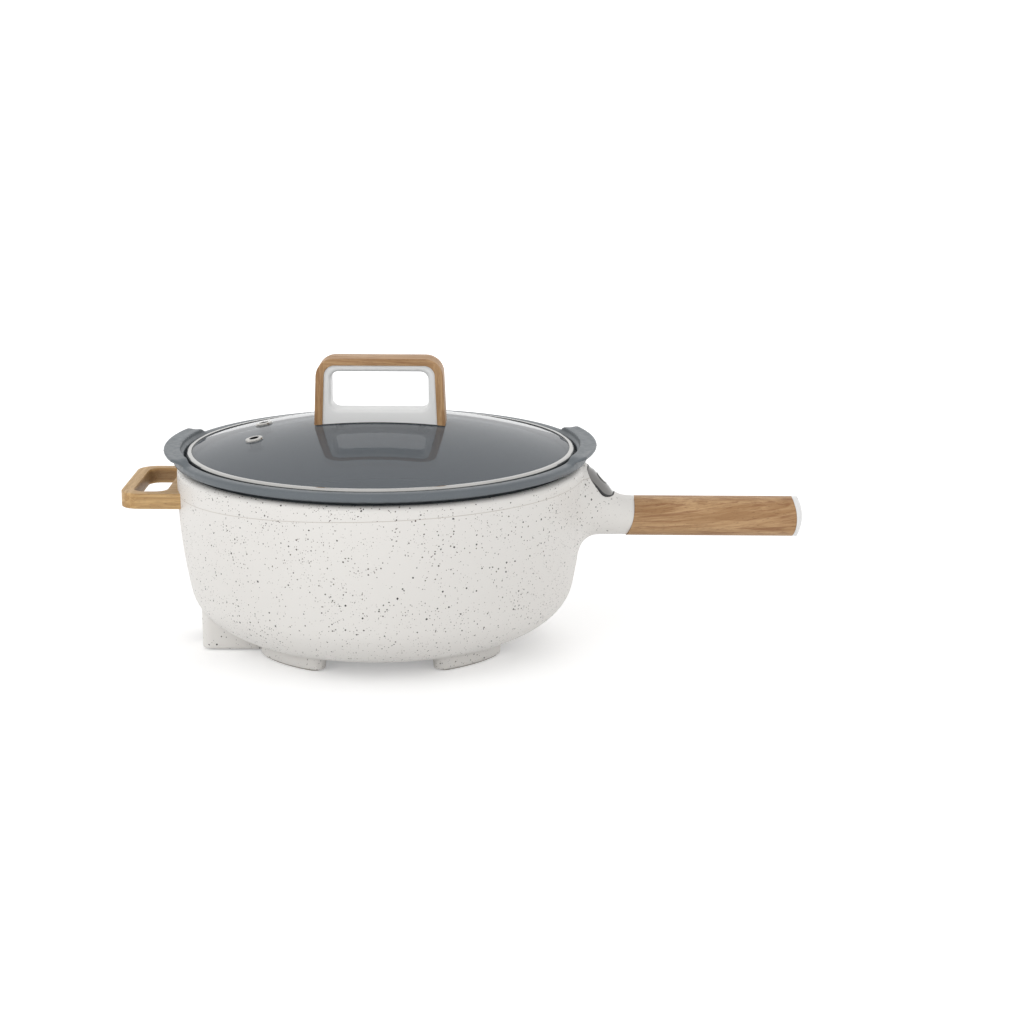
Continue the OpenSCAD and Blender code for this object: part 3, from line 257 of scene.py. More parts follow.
# %% [markdown]
# ## Speckled moulding
# The housing is off-white plastic with dark flecks mixed into it, like pebble ware.
# Flecks are cells of a Voronoi pattern that are small, of random size, and missing
# where a slow noise is low, so that they gather in loose drifts. Three sizes are laid
# over one another: fine dust, small dots and a few bold ones. They thin out towards the
# long handle. The seam between the shell and its ring is a fine painted line, because it
# sags at the front and rises towards the handle, across the fused skin.


# %% The speckled finish
def flecks(finish, cell, small, large, keep, seed):
    """A mask of dots: cell is their mean distance and small..large their radius, in mm."""
    place = finish.add("ShaderNodeMapping", None,
                       {"Vector": finish.place, "Location": (seed, 2 * seed, 3 * seed)})
    wobble = finish.add("ShaderNodeMix", {"data_type": "VECTOR"},
                        {0: 0.0006, 4: place,
                         5: finish.noise(1400, 1, place=place, output="Color")}, 1)
    dots = finish.add("ShaderNodeTexVoronoi", {"feature": "F1"},
                      {"Vector": wobble, "Scale": 1000 / cell})
    luck = finish.add("ShaderNodeSeparateColor", None, {"Color": dots.of("Color")})
    radius = luck.maths("POWER", luck, 2.0) * ((large - small) / cell) + small / cell
    drift = finish.noise(32, 2, place=place).spread(0.35, 0.65, keep * 0.35, keep * 1.6)
    inside = (radius - dots.of("Distance")) * (cell / 0.1)
    inside = inside.maths("MINIMUM", inside.maths("MAXIMUM", inside, 0.0), 1.0)
    return inside * (drift > luck.of("Green")), luck.of("Blue")


speckled = Finish("speckled_moulding", Roughness=0.42)
dust, _ = flecks(speckled, 1.4, 0.17, 0.42, 0.5, 0.31)
dots, shade = flecks(speckled, 2.2, 0.34, 0.68, 0.24, 0.77)
bold, _ = flecks(speckled, 4.0, 0.55, 0.85, 0.3, 0.53)
along = speckled.split()
plain = along.spread(0.158, 0.186, 1.0, 0.12)
body_tone = speckled.mixed(speckled.noise(9, 2), colour(229, 227, 223), colour(224, 221, 217))
tone = speckled.mixed(dust * plain * 0.9, body_tone, colour(84, 73, 66))
dot_tone = speckled.mixed(shade, colour(26, 22, 22), colour(86, 72, 62))
tone = speckled.mixed(dots * plain, tone, dot_tone)
tone = speckled.mixed(bold * plain, tone, colour(18, 16, 16))
seam_z = along * (along * -0.148 + 0.0315) + 0.1277
from_axis = speckled.radius()
on_side = from_axis.spread(0.1495, 0.1505) * from_axis.spread(0.180, 0.1805, 1.0, 0.0)
seam = abs(along.of("Z") - seam_z).spread(0.00006, 0.00032, 1.0, 0.0) * on_side
tone = speckled.mixed(seam * 0.42, tone, colour(146, 128, 106))
speckled.set("Base Color", tone)
speckled.set("Roughness", speckled.noise(220, 2).spread(0.3, 0.7, 0.38, 0.48))
speckled.bump(speckled.noise(900, 2) * 0.12 + seam * -1.0, 0.00035, 0.5)
print("speckled finish has", len(speckled.tree.nodes), "nodes")

# %% [markdown]
# ## Wood grain
# The handles have an oak look: slow bands of darker and lighter wood, sweeping figure
# lines, fine fibres and short dark pores. All of it is noise drawn out along the grain.
# On the long handle the figure fans out towards the tip, so the height is scaled by the
# distance along it. On the lid's band and the side loop the grain turns with the part, so
# the band's two legs and the loop's outer bar get a direction of their own. The loop is a
# little more golden, and inside its opening it gets painted shade: a darker tone for the
# shadow that falls there.


# %% The wood finish
BROWN_OAK = ((192, 156, 114), (160, 122, 82), (136, 94, 60))
GOLDEN_OAK = ((205, 170, 118), (180, 143, 93), (150, 112, 68))


def oak(name, axes, turned=None, shades=BROWN_OAK, figured=0.66, painted_shade=None):
    """Oak whose grain runs along the first of three axes. Where turned gives a share, it
    runs along the first axis that comes with that share. Its last argument is 1 where shade is
    painted into the tone."""
    finish = Finish(name, Roughness=0.5)
    split = finish.split()

    def grain(u, v, w):
        def drawn(fine_u, fine_v, detail, rough=0.5, twist=0.0):
            place = finish.add("ShaderNodeCombineXYZ", None,
                               {"X": u * fine_u, "Y": v * fine_v, "Z": w * fine_v})
            return finish.add("ShaderNodeTexNoise", None,
                              {"Vector": place, "Scale": 1.0, "Detail": detail, "Roughness": rough,
                               "Distortion": twist})
        return (drawn(11, 210, 4, 0.6, 0.8), drawn(22, 620, 3, 0.6, 0.5),
                drawn(110, 2400, 3, 0.6), drawn(260, 2300, 2))

    layers = grain(*axes(split))
    if turned is not None:
        share, *second = turned(split)
        layers = [finish.add("ShaderNodeMix", None, {0: share, 2: flat, 3: tall})
                  for flat, tall in zip(layers, grain(*second))]
    bands, figure, fibres, pores = layers
    light, dark, line = shades
    tone = finish.mixed(bands.spread(0.36, 0.64), colour(*light), colour(*dark))
    tone = finish.mixed(figure.spread(0.52, 0.62, 0.0, figured), tone, colour(*line))
    tone = finish.mixed(fibres.spread(0.4, 0.7, 0.0, 0.4), tone, colour(142, 103, 66))
    tone = finish.mixed(pores.spread(0.6, 0.72) * 0.5, tone, colour(100, 68, 42))
    # Painted shade: a darker wood tone stands in for the shadow inside the loop's opening.
    if painted_shade is not None:
        tone = finish.mixed(painted_shade(split) * 0.6, tone, colour(92, 62, 38))
    finish.set("Base Color", tone)
    finish.set("Roughness", bands.spread(0.3, 0.7, 0.46, 0.58))
    finish.bump(fibres * 0.5 - pores * 0.6, 0.0001, 0.5)
    return finish


def fanned(s):
    """Axes of the long handle: the grain spreads out from the handle's root."""
    return s, s.of("Y"), (s.of("Z") - 0.083) * (1.95 - 5 * s.maths("MAXIMUM", s, 0.19))


def leaning(s):
    """Axes of the lid's band: the grain climbs a little along it."""
    return s, s.of("Y"), s.of("Z") + s * 0.06


def band_legs(s):
    """The share of the band's legs, and their axes."""
    along_top, across, up = leaning(s)
    return (abs(s) - s.of("Z") * 0.8).spread(-0.135, -0.125), up, across, along_top


def outer_bar(s):
    """The share of the side loop's outer bar, and its axes."""
    return s.spread(-0.1832, -0.1802, 1.0, 0.0), s.of("Y"), s, s.of("Z")


def opening_shade(s):
    """1 on the faces inside the side loop's opening, where shade is painted."""
    sides = abs(s.of("Y")).spread(0.0395, 0.041, 1.0, 0.0)
    ends = s.spread(-0.183, -0.1818) * s.spread(-0.1575, -0.156, 1.0, 0.0)
    edges = s.of("Z").spread(0.111, 0.1135) * s.of("Z").spread(0.1195, 0.1222, 1.0, 0.0)
    return sides * ends * edges


wood = oak("oak_look", fanned)
band_wood = oak("oak_band", leaning, band_legs)
loop_wood = oak("oak_loop", lambda s: (s, s.of("Y"), s.of("Z")), outer_bar, GOLDEN_OAK, 0.42,
                opening_shade)
print("wood finish has", len(wood.tree.nodes), "nodes")

# %% [markdown]
# ## Pot coating, steel, glass and the plain plastics
# The pot's coating is a satin grey, faintly mottled by the fillers in it. The lid's rim
# and the vents are polished steel, brushed round by the lathe, and the vents' bores get
# painted shade, a dark tone for the shadow inside them. The glass mixes a clear shader with
# a smooth grey one, more of it at grazing angles, so that it mirrors the handle and still
# shows the pot. Plastics get a faint moulded texture, because a perfectly even surface looks
# drawn.

# %% Coating and metals
coating = Finish("pot_coating", Roughness=0.4)
cloud = coating.noise(14, 3)
tone = coating.mixed(cloud, colour(98, 104, 109), colour(91, 97, 101))
tone = coating.mixed(coating.noise(900, 2).spread(0.55, 0.75) * 0.18, tone, colour(124, 131, 136))
coating.set("Base Color", tone)
coating.set("Roughness", coating.noise(260, 2).spread(0.3, 0.7, 0.36, 0.46))
coating.bump(coating.noise(700, 2), 0.00006, 0.25)


def metal(name, tint, rough, turned=True):
    """Metal with fine marks, round the Z axis if it was turned on a lathe."""
    finish = Finish(name, Metallic=1.0, Roughness=rough)
    if turned:
        place = finish.add("ShaderNodeCombineXYZ", None,
                           {"X": finish.radius() * 2500, "Z": finish.split().of("Z") * 2500})
    else:
        place = finish.add("ShaderNodeMapping", None,
                           {"Vector": finish.place, "Scale": (120, 2200, 2200)})
    marks = finish.noise(1, 3, 0.6, place=place)
    finish.set("Base Color", finish.mixed(finish.noise(30, 2), colour(*tint),
                                          colour(*[0.93 * v for v in tint])))
    finish.set("Roughness", marks.spread(0.25, 0.75, 0.75 * rough, 1.35 * rough))
    finish.bump(marks, 0.00003, 0.25)
    return finish


steel = metal("polished_steel", (194, 193, 190), 0.12)
plated = metal("plated_steel", (186, 186, 184), 0.3, turned=False)
vent_steel_with_bore_shade = metal("vent_steel_with_bore_shade", (186, 184, 180), 0.16)
VENT_X, VENT_Y = 0.0916, 0.0289
spot = vent_steel_with_bore_shade.split()
from_x = spot + VENT_X
from_y = abs(spot.of("Y")) - VENT_Y
squares = from_x * from_x + from_y * from_y
bore = squares.maths("SQRT", squares)
# Painted shade: a dark tone inside the vents' bores stands in for the shadow there.
vent_steel_with_bore_shade.set("Base Color", vent_steel_with_bore_shade.mixed(bore.spread(0.0033, 0.0039), colour(24, 24, 24),
                                              colour(190, 188, 184)))
alloy = metal("turned_aluminium", (190, 191, 194), 0.34)
print("metals:", steel.material.name, plated.material.name, alloy.material.name)

# %% Glass
glass = Finish("lid_glass", Base_Color=colour(118, 123, 129), Roughness=0.02, IOR=1.5)
glass.set("Roughness", glass.noise(18, 3).spread(0.4, 0.8, 0.015, 0.05))
clear = glass.add("ShaderNodeBsdfTransparent", None, {"Color": (0.80, 0.83, 0.84, 1)})
facing = glass.add("ShaderNodeFresnel", None, {"IOR": 1.6})
pane = glass.add("ShaderNodeMixShader", None,
                 {0: facing.spread(0.04, 0.6, 0.43, 0.66), 1: clear,
                  2: Wire(glass, glass.shader.outputs[0])})
glass.tree.links.new(pane.socket, glass.out.inputs["Surface"])
print("glass is", glass.material.name)


# %% Plastics and rubber
def plastic(name, tint, rough, grain=700, depth=0.00008, drift=0.96):
    """A moulded plastic or rubber with a fine surface texture."""
    finish = Finish(name, Roughness=rough)
    finish.set("Base Color", finish.mixed(finish.noise(11, 2), colour(*tint),
                                          colour(*[drift * v for v in tint])))
    finish.set("Roughness", finish.noise(180, 2).spread(0.3, 0.7, 0.85 * rough, 1.15 * rough))
    finish.bump(finish.noise(grain, 2), depth, 0.4)
    return finish


white = plastic("white_plastic", (232, 232, 231), 0.34, 260, 0.00002)
black = plastic("black_plastic", (26, 26, 27), 0.42)
rubber = plastic("foot_rubber", (172, 168, 161), 0.75, 420, 0.0001)
silicone = plastic("grey_silicone", (74, 76, 78), 0.6, 420, 0.0001)
board = plastic("board_green", (38, 92, 56), 0.45, 300, 0.0001, 0.8)
insulation = plastic("wire_insulation", (168, 44, 38), 0.55)
ceramic = plastic("cream_ceramic", (226, 219, 203), 0.5)
smoked = plastic("smoked_cover", (122, 120, 117), 0.12, 300, 0.00001, 0.85)
smoked.shader.inputs["Coat Weight"].default_value = 0.6
smoked.shader.inputs["Coat Roughness"].default_value = 0.03
print("plastics are ready")

# %% [markdown]
# ## Every CAD node gets its finish
# Most inner parts are right as the CAD gives them and only need their material. The
# list follows the object from the outside in.

# %% Dress the CAD nodes
dress = {
    speckled: ["outer_shell", "top_ring", "base_cover"],
    wood: ["handle_sleeve"],
    band_wood: ["lid_handle_band"],
    loop_wood: ["side_handle"],
    coating: ["inner_pot"],
    steel: ["lid_rim"],
    vent_steel_with_bore_shade: ["lid_vent_eyelets"],
    plated: ["base_screws", "shield_screws", "plate_spacers", "plate_screws", "probe_guide",
             "probe_spring", "probe_clip", "inlet_pins", "handle_bolt", "handle_nut",
             "side_handle_screws", "lid_screws", "heating_element"],
    alloy: ["heat_shield", "heating_plate", "thermostat_probe"],
    glass: ["lid_glass"],
    white: ["handle_end_cap", "lid_handle_frame", "thermal_fuse"],
    black: ["inlet_housing", "control_bezel", "handle_core"],
    rubber: ["foot_pads"],
    silicone: ["lid_handle_gasket", "lid_screw_washers"],
    board: ["power_board", "control_board"],
    insulation: ["internal_wires"],
    ceramic: ["safety_thermostat"],
    smoked: ["control_lens", "power_button", "indicator_lights"],
}
for finish, names in dress.items():
    for name in names:
        nodes[name].data.materials.clear()
        nodes[name].data.materials.append(finish.material)
undressed = set(nodes) - {name for names in dress.values() for name in names}
print("nodes without a finish:", sorted(undressed))

# %% [markdown]
# ## Modelling by hand, in code
# A modeller starts from a primitive, then extrudes, spins, bevels and cuts it. The
# helpers below do just that. Each takes millimetres, and leaves the object's origin at
# the frame's origin with its place in the mesh, so that materials and joints agree.


# %% Helpers: start, outline, spin, extrude
MM = 0.001


def clear_selection():
    if bpy.context.object and bpy.context.object.mode != "OBJECT":
        bpy.ops.object.mode_set(mode="OBJECT")
    bpy.ops.object.select_all(action="DESELECT")


def pick(*pieces):
    """Select these objects, the first one active."""
    clear_selection()
    for piece in pieces:
        piece.select_set(True)
    bpy.context.view_layer.objects.active = pieces[0]
    return pieces[0]


def settle(name):
    """Name the active object and put its place, turn and size into its mesh."""
    piece = bpy.context.object
    piece.name = name
    bpy.ops.object.transform_apply(location=True, rotation=True, scale=True)
    return piece


def draw(name, points):
    """A chain of edges through points, drawn by extruding one vertex."""
    clear_selection()
    bpy.ops.mesh.primitive_plane_add(size=MM, location=(0, 0, 0))
    bpy.ops.object.mode_set(mode="EDIT")
    bpy.ops.mesh.select_mode(type="VERT")
    bpy.ops.mesh.select_all(action="SELECT")
    bpy.ops.mesh.merge(type="CENTER")
    here = Vector(points[0]) * MM
    bpy.ops.transform.translate(value=here)
    for point in points[1:]:
        there = Vector(point) * MM
        bpy.ops.mesh.extrude_region_move(TRANSFORM_OT_translate={"value": there - here})
        here = there
    bpy.ops.object.mode_set(mode="OBJECT")
    return settle(name)


def close_up():
    """Merge doubles and turn the faces of the object in edit mode outward."""
    bpy.ops.mesh.select_all(action="SELECT")
    bpy.ops.mesh.remove_doubles(threshold=0.01 * MM)
    bpy.ops.mesh.normals_make_consistent(inside=False)
    bpy.ops.object.mode_set(mode="OBJECT")


def lathe(name, outline, steps=180, start=0.0, sweep=360.0):
    """Spin an outline of (radius, height) points round the Z axis."""
    turn = math.radians(start)
    piece = draw(name, [(r * math.cos(turn), r * math.sin(turn), z) for r, z in outline])
    pick(piece)
    bpy.ops.object.mode_set(mode="EDIT")
    bpy.ops.mesh.select_all(action="SELECT")
    bpy.ops.mesh.spin(steps=steps, angle=-math.radians(sweep), center=(0, 0, 0), axis=(0, 0, 1))
    close_up()
    return piece


def block(name, low, high, corner=0.0, steps=8):
    """A box between two corners, its upright edges rounded."""
    clear_selection()
    size = [(h - l) * MM for l, h in zip(low, high)]
    middle = [(h + l) / 2 * MM for l, h in zip(low, high)]
    bpy.ops.mesh.primitive_cube_add(size=1, location=middle, scale=size)
    piece = settle(name)
    if corner:
        round_edges(piece, corner, steps, lambda a, b: abs(a.x - b.x) + abs(a.y - b.y) < 1e-7)
    return piece


def round_edges(piece, width, steps, wanted):
    """Bevel the edges whose two ends pass the test wanted."""
    pick(piece)
    bpy.ops.object.mode_set(mode="EDIT")
    bpy.ops.mesh.select_mode(type="EDGE")
    bpy.ops.mesh.select_all(action="DESELECT")
    bpy.ops.object.mode_set(mode="OBJECT")
    points = piece.data.vertices
    for edge in piece.data.edges:
        a, b = (points[i].co for i in edge.vertices)
        edge.select = wanted(a, b)
    bpy.ops.object.mode_set(mode="EDIT")
    bpy.ops.mesh.bevel(offset=width * MM, offset_type="OFFSET", segments=steps, affect="EDGES")
    bpy.ops.object.mode_set(mode="OBJECT")


def change(piece, kind, **settings):
    """Add a modifier and apply it."""
    pick(piece)
    modifier = piece.modifiers.new(kind.lower(), kind)
    for key, value in settings.items():
        setattr(modifier, key, value)
    bpy.ops.object.modifier_apply(modifier=modifier.name)


def carve(piece, tool, operation="DIFFERENCE"):
    """Cut the tool out of the piece, or keep what both share, and drop the tool."""
    change(piece, "BOOLEAN", operation=operation, solver="EXACT", object=tool)
    bpy.data.objects.remove(tool)


def join(name, *pieces):
    pick(*pieces)
    bpy.ops.object.join()
    return settle(name)


def melt(piece, cell, passes):
    """Fuse overlapping bodies into one skin of even cells and soften it."""
    change(piece, "REMESH", mode="VOXEL", voxel_size=cell * MM, use_smooth_shade=True)
    change(piece, "SMOOTH", factor=0.5, iterations=passes)


def dress_up(piece, finish):
    """Close the mesh, smooth its shading up to 35 degrees and give it its finish."""
    pick(piece)
    bpy.ops.object.mode_set(mode="EDIT")
    close_up()
    bpy.ops.object.shade_smooth_by_angle(angle=math.radians(35))
    piece.data.materials.clear()
    piece.data.materials.append(finish.material)
    low, high = ([round(1000 * end(v.co[i] for v in piece.data.vertices), 1) for i in range(3)]
                 for end in (min, max))
    print(piece.name, len(piece.data.polygons), "faces, from", low, "to", high, "mm")


def arc(x, y, radius, start, end, steps):
    """Points on an arc, its angles in degrees."""
    return [(x + radius * math.cos(math.radians(start + (end - start) * i / steps)),
             y + radius * math.sin(math.radians(start + (end - start) * i / steps)))
            for i in range(steps + 1)]


print("helpers are ready")

# %% [markdown]
# ## The housing
# The bowl, the neck of the long handle, the foot arcs and the inlet block are one
# moulding, and the ring above the seam follows the same outside. Their joins are all
# blended, which a loft alone can't give, so each is modelled as a closed body, all are
# fused into one skin, and the skin is softened. The crisp edges are cut afterwards:
# the inside, the neck's end, the panel's seat, the inlet's socket and the floor's hole.

# %% Sizes of the housing
BODY_R, RIM_Z, SEAM_Z, BASE_Z, WALL = 152.5, 138.0, 125.5, 8.0, 2.6
CORNER_W, CORNER_H, WALL_LEAN = 67.0, 43.0, 12.0
GRIP_Z, GRIP_H, GRIP_W, NECK_END, SLOPE = 97.2, 29.2, 27.0, 190.2, 47.0
FLARE_R, FILLET_R, NECK_HALF, NECK_SOFT, EMBED = 30.0, 14.5, 20.0, 5.0, 4.0
corner_lean = math.degrees(math.atan(math.tan(math.radians(WALL_LEAN)) * CORNER_H / CORNER_W))
corner_top = BASE_Z + CORNER_H
join_z = corner_top - CORNER_H * math.sin(math.radians(corner_lean))
bow_r = (SEAM_Z - join_z) / math.sin(math.radians(WALL_LEAN))
flat_r = (BODY_R - bow_r * (1 - math.cos(math.radians(WALL_LEAN)))
          - CORNER_W * math.cos(math.radians(corner_lean)))


def bowl_side(inward):
    """Outline of the bowl's side from the flat bottom to the seam, moved inward."""
    points = []
    for i in range(25):
        a = math.radians(90 - (90 - corner_lean) * i / 24)
        points.append((flat_r + (CORNER_W - inward) * math.cos(a),
                       corner_top - (CORNER_H - inward) * math.sin(a)))
    for i in range(1, 17):
        a = math.radians(WALL_LEAN * (1 - i / 16))
        points.append((BODY_R - inward - (bow_r - inward) * (1 - math.cos(a)),
                       SEAM_Z - (bow_r - inward) * math.sin(a)))
    return points


def neck_size(x):
    """Top, bottom and half width of the neck at a distance x from the pot's axis."""
    ridge = RIM_Z - (x - BODY_R) * math.tan(math.radians(SLOPE))
    grip_top, grip_low = GRIP_Z + GRIP_H / 2, GRIP_Z - GRIP_H / 2
    top = min(RIM_Z, (ridge + grip_top + math.hypot(ridge - grip_top, NECK_SOFT)) / 2)
    sag = max(0.0, min(FILLET_R, BODY_R - EMBED + FILLET_R - x))
    low = grip_low - FILLET_R + math.sqrt(FILLET_R ** 2 - sag ** 2)
    flare_y = NECK_HALF + FLARE_R
    flare_x = math.sqrt((BODY_R + FLARE_R) ** 2 - flare_y ** 2)
    root_x = BODY_R * flare_x / (BODY_R + FLARE_R)
    out = max(0.0, min(flare_x - root_x, flare_x - x))
    share = min(1.0, max(0.0, (x - root_x) / (NECK_END - root_x)))
    half = (flare_y - math.sqrt(FLARE_R ** 2 - out ** 2)
            - (NECK_HALF - GRIP_W / 2) * share * share * (3 - 2 * share))
    return top, low, half, root_x


print("flat bottom", round(flat_r, 1), "mm, neck root at", round(neck_size(150)[3], 1), "mm")

# %% The bowl and the neck
RIM_ROUND, NECK_STEP = 3.5, 1.5
rim_edge = arc(BODY_R - RIM_ROUND, RIM_Z - RIM_ROUND, RIM_ROUND, 0, 90, 6)
bowl = lathe("bowl", [(0, BASE_Z)] + bowl_side(0) + rim_edge + [(0, RIM_Z)])

clear_selection()
x = neck_size(0)[3] - EMBED
bpy.ops.mesh.primitive_circle_add(vertices=72, radius=MM, fill_type="NGON",
                                  location=(x * MM, 0, 0), rotation=(0, math.pi / 2, 0))
neck = settle("neck")
bpy.ops.object.mode_set(mode="EDIT")
bpy.ops.mesh.select_all(action="SELECT")
top, low, half, _ = neck_size(x)
height = (top - low) / 2
middle = (top + low) / 2
bpy.ops.transform.resize(value=(1, half, height))
bpy.ops.transform.translate(value=(0, 0, middle * MM))
while x < NECK_END + EMBED:
    x += NECK_STEP
    top, low, new_half, _ = neck_size(x)
    new_height, new_middle = (top - low) / 2, (top + low) / 2
    bpy.ops.mesh.extrude_region_move(
        TRANSFORM_OT_translate={"value": (NECK_STEP * MM, 0, (new_middle - middle) * MM)})
    bpy.ops.transform.resize(value=(1, new_half / half, new_height / height))
    half, height, middle = new_half, new_height, new_middle
close_up()
print("neck ends at", round(x, 1), "mm")

# %% Feet and inlet block
FOOT_R, FOOT_W, FOOT_ANGLE, FOOT_TURN, FOOT_SPAN = 101.7, 13.4, 44.5, 2.5, 31.5
FOOT_LOW, FOOT_TOP = 0.8, 22.0
foot_in, foot_mid = FOOT_R - FOOT_W, FOOT_R - FOOT_W / 2
foot_outline = [(foot_in, FOOT_LOW), (FOOT_R, FOOT_LOW), (FOOT_R, FOOT_TOP),
                (foot_in, FOOT_TOP), (foot_in, FOOT_LOW)]
feet = []
for middle_angle in (FOOT_ANGLE, -FOOT_ANGLE, 180 - FOOT_ANGLE, FOOT_ANGLE - 180):
    start = middle_angle - 90 + FOOT_TURN - FOOT_SPAN / 2
    foot = lathe("foot", foot_outline, 16, start, FOOT_SPAN)
    pick(foot)
    bpy.ops.object.mode_set(mode="EDIT")
    bpy.ops.mesh.select_all(action="SELECT")
    bpy.ops.mesh.edge_face_add()
    bpy.ops.object.mode_set(mode="OBJECT")
    for angle in (start, start + FOOT_SPAN):
        turn = math.radians(angle)
        clear_selection()
        bpy.ops.mesh.primitive_cylinder_add(
            vertices=32, radius=FOOT_W / 2 * MM, depth=(FOOT_TOP - FOOT_LOW) * MM,
            location=(foot_mid * math.cos(turn) * MM, foot_mid * math.sin(turn) * MM,
                      (FOOT_TOP + FOOT_LOW) / 2 * MM))
        feet.append(settle("foot_end"))
    feet.append(foot)
INLET_X, INLET_DEEP, INLET_W, INLET_CORNER = 133.7, 52.0, 80.0, 7.0
INLET_LOW, INLET_TOP = 1.0, 36.0
inlet = block("inlet", (-INLET_X, -INLET_W / 2, INLET_LOW),
              (INLET_DEEP - INLET_X, INLET_W / 2, INLET_TOP), INLET_CORNER)
print(len(feet), "foot bodies")

# %% Fuse, soften and cut the housing
housing = join("housing_skin", bowl, neck, inlet, *feet)
melt(housing, 1.5, 8)

LIP_R, LIP_LOW, FLOOR_HOLE_R = 146.4, 8.0, 60.0
inside = lathe("inside", [(0, BASE_Z + WALL)] + bowl_side(WALL)
               + [(BODY_R - WALL, RIM_Z - LIP_LOW), (LIP_R, RIM_Z - LIP_LOW),
                  (LIP_R, RIM_Z + 2), (0, RIM_Z + 2)])
carve(housing, inside)
clear_selection()
bpy.ops.mesh.primitive_cylinder_add(vertices=96, radius=FLOOR_HOLE_R * MM, depth=12 * MM,
                                    location=(0, 0, BASE_Z * MM))
carve(housing, settle("floor_hole"))

# The neck ends in a round face: what lies beyond a lying cylinder is cut away
END_R, END_UP = 45.0, 8.3
clear_selection()
bpy.ops.mesh.primitive_cylinder_add(
    vertices=256, radius=END_R * MM, depth=80 * MM,
    location=((NECK_END - END_R) * MM, 0, (GRIP_Z + END_UP) * MM),
    rotation=(math.pi / 2, 0, 0))
neck_end = settle("neck_end")
beyond = block("beyond", (NECK_END - 12, -35, GRIP_Z - 30), (NECK_END + 12, 35, GRIP_Z + 40))
carve(beyond, neck_end)
carve(housing, beyond)

# The panel's seat lies on the slope
PANEL_LEN, PANEL_W, PANEL_START, PANEL_DEEP, PANEL_CORNER = 29.0, 31.0, 3.5, 8.5, 10.0
slope = math.radians(SLOPE)
panel_mid = PANEL_START + PANEL_LEN / 2
panel_x = BODY_R + panel_mid * math.cos(slope)
panel_z = RIM_Z - panel_mid * math.sin(slope)
seat = block("seat", (-PANEL_LEN / 2, -PANEL_W / 2, -PANEL_DEEP),
             (PANEL_LEN / 2, PANEL_W / 2, 20), PANEL_CORNER)
pick(seat)
bpy.ops.transform.rotate(value=-slope, orient_axis="Y", center_override=(0, 0, 0))
bpy.ops.transform.translate(value=(panel_x * MM, 0, panel_z * MM))
carve(housing, settle("seat"))

# The inlet's socket, and a shallow rebate round its mouth: half width, half height, inner end
SOCKET_Z, SOCKET, REBATE = 13.8, (14.2, 10.1, -112), (16.2, 11.9, -131.7)
for name, (half_w, half_h, inner_x) in (("socket", SOCKET), ("rebate", REBATE)):
    carve(housing, block(name, (-140, -half_w, SOCKET_Z - half_h),
                         (inner_x, half_w, SOCKET_Z + half_h)))
dress_up(housing, speckled)
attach(housing, "housing")
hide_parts("outer_shell", "top_ring")

# %% [markdown]
# ## The pot
# The pot is one casting with a satin coating: a round bowl, a stepped rim that seats
# the lid and hangs over the housing, and two ears to lift it by. Coating rounds every
# edge of the rim and ears, so they are fused and softened. The bowl below has no such
# edges and is spun as it is, which keeps it exact and light.

# %% The pot's bowl
POT_R, POT_Z, POT_WALL, POT_W, POT_H, POT_LEAN = 143.5, 38.0, 2.8, 43.0, 38.0, 6.0
FLANGE_R, FLANGE_TOP, SEAT_Z, SEAT_R, POT_TURN = 155.0, 148.0, 142.4, 146.9, 3.0
pot_side_r = POT_R - (SEAT_Z - POT_Z - POT_H) * math.tan(math.radians(POT_LEAN))


def pot_side(inward, steps=20):
    """The pot's lower corner, from the flat floor up."""
    return [(pot_side_r - POT_W + (POT_W - inward) * math.cos(math.radians(a)),
             POT_Z + POT_H - (POT_H - inward) * math.sin(math.radians(a)))
            for a in (90 - (90 - POT_LEAN) * i / steps for i in range(steps + 1))]


pot_inside_top = (POT_R - POT_WALL / math.cos(math.radians(POT_LEAN)), SEAT_Z - 0.5)
pot = lathe("pot_bowl", [(0, POT_Z)] + pot_side(0) + [(POT_R - 0.1, SEAT_Z - 1.2), pot_inside_top]
            + pot_side(POT_WALL)[::-1] + [(0, POT_Z + POT_WALL)])

# %% The pot's rim and ears
rim_outline = ([(141.3, 138.4), (143.4, 137.6), (145.9, 140.0), (149.3, 140.0), (149.3, 145.6),
                (152.6, 145.6), (152.6, 142.0), (FLANGE_R, 142.0)]
               + arc(FLANGE_R - 2.4, FLANGE_TOP - 2.4, 2.4, 0, 90, 6)
               + [(SEAT_R, FLANGE_TOP), (SEAT_R, SEAT_Z), (140.8, SEAT_Z)])
flange = lathe("flange", rim_outline + rim_outline[:1], 240)

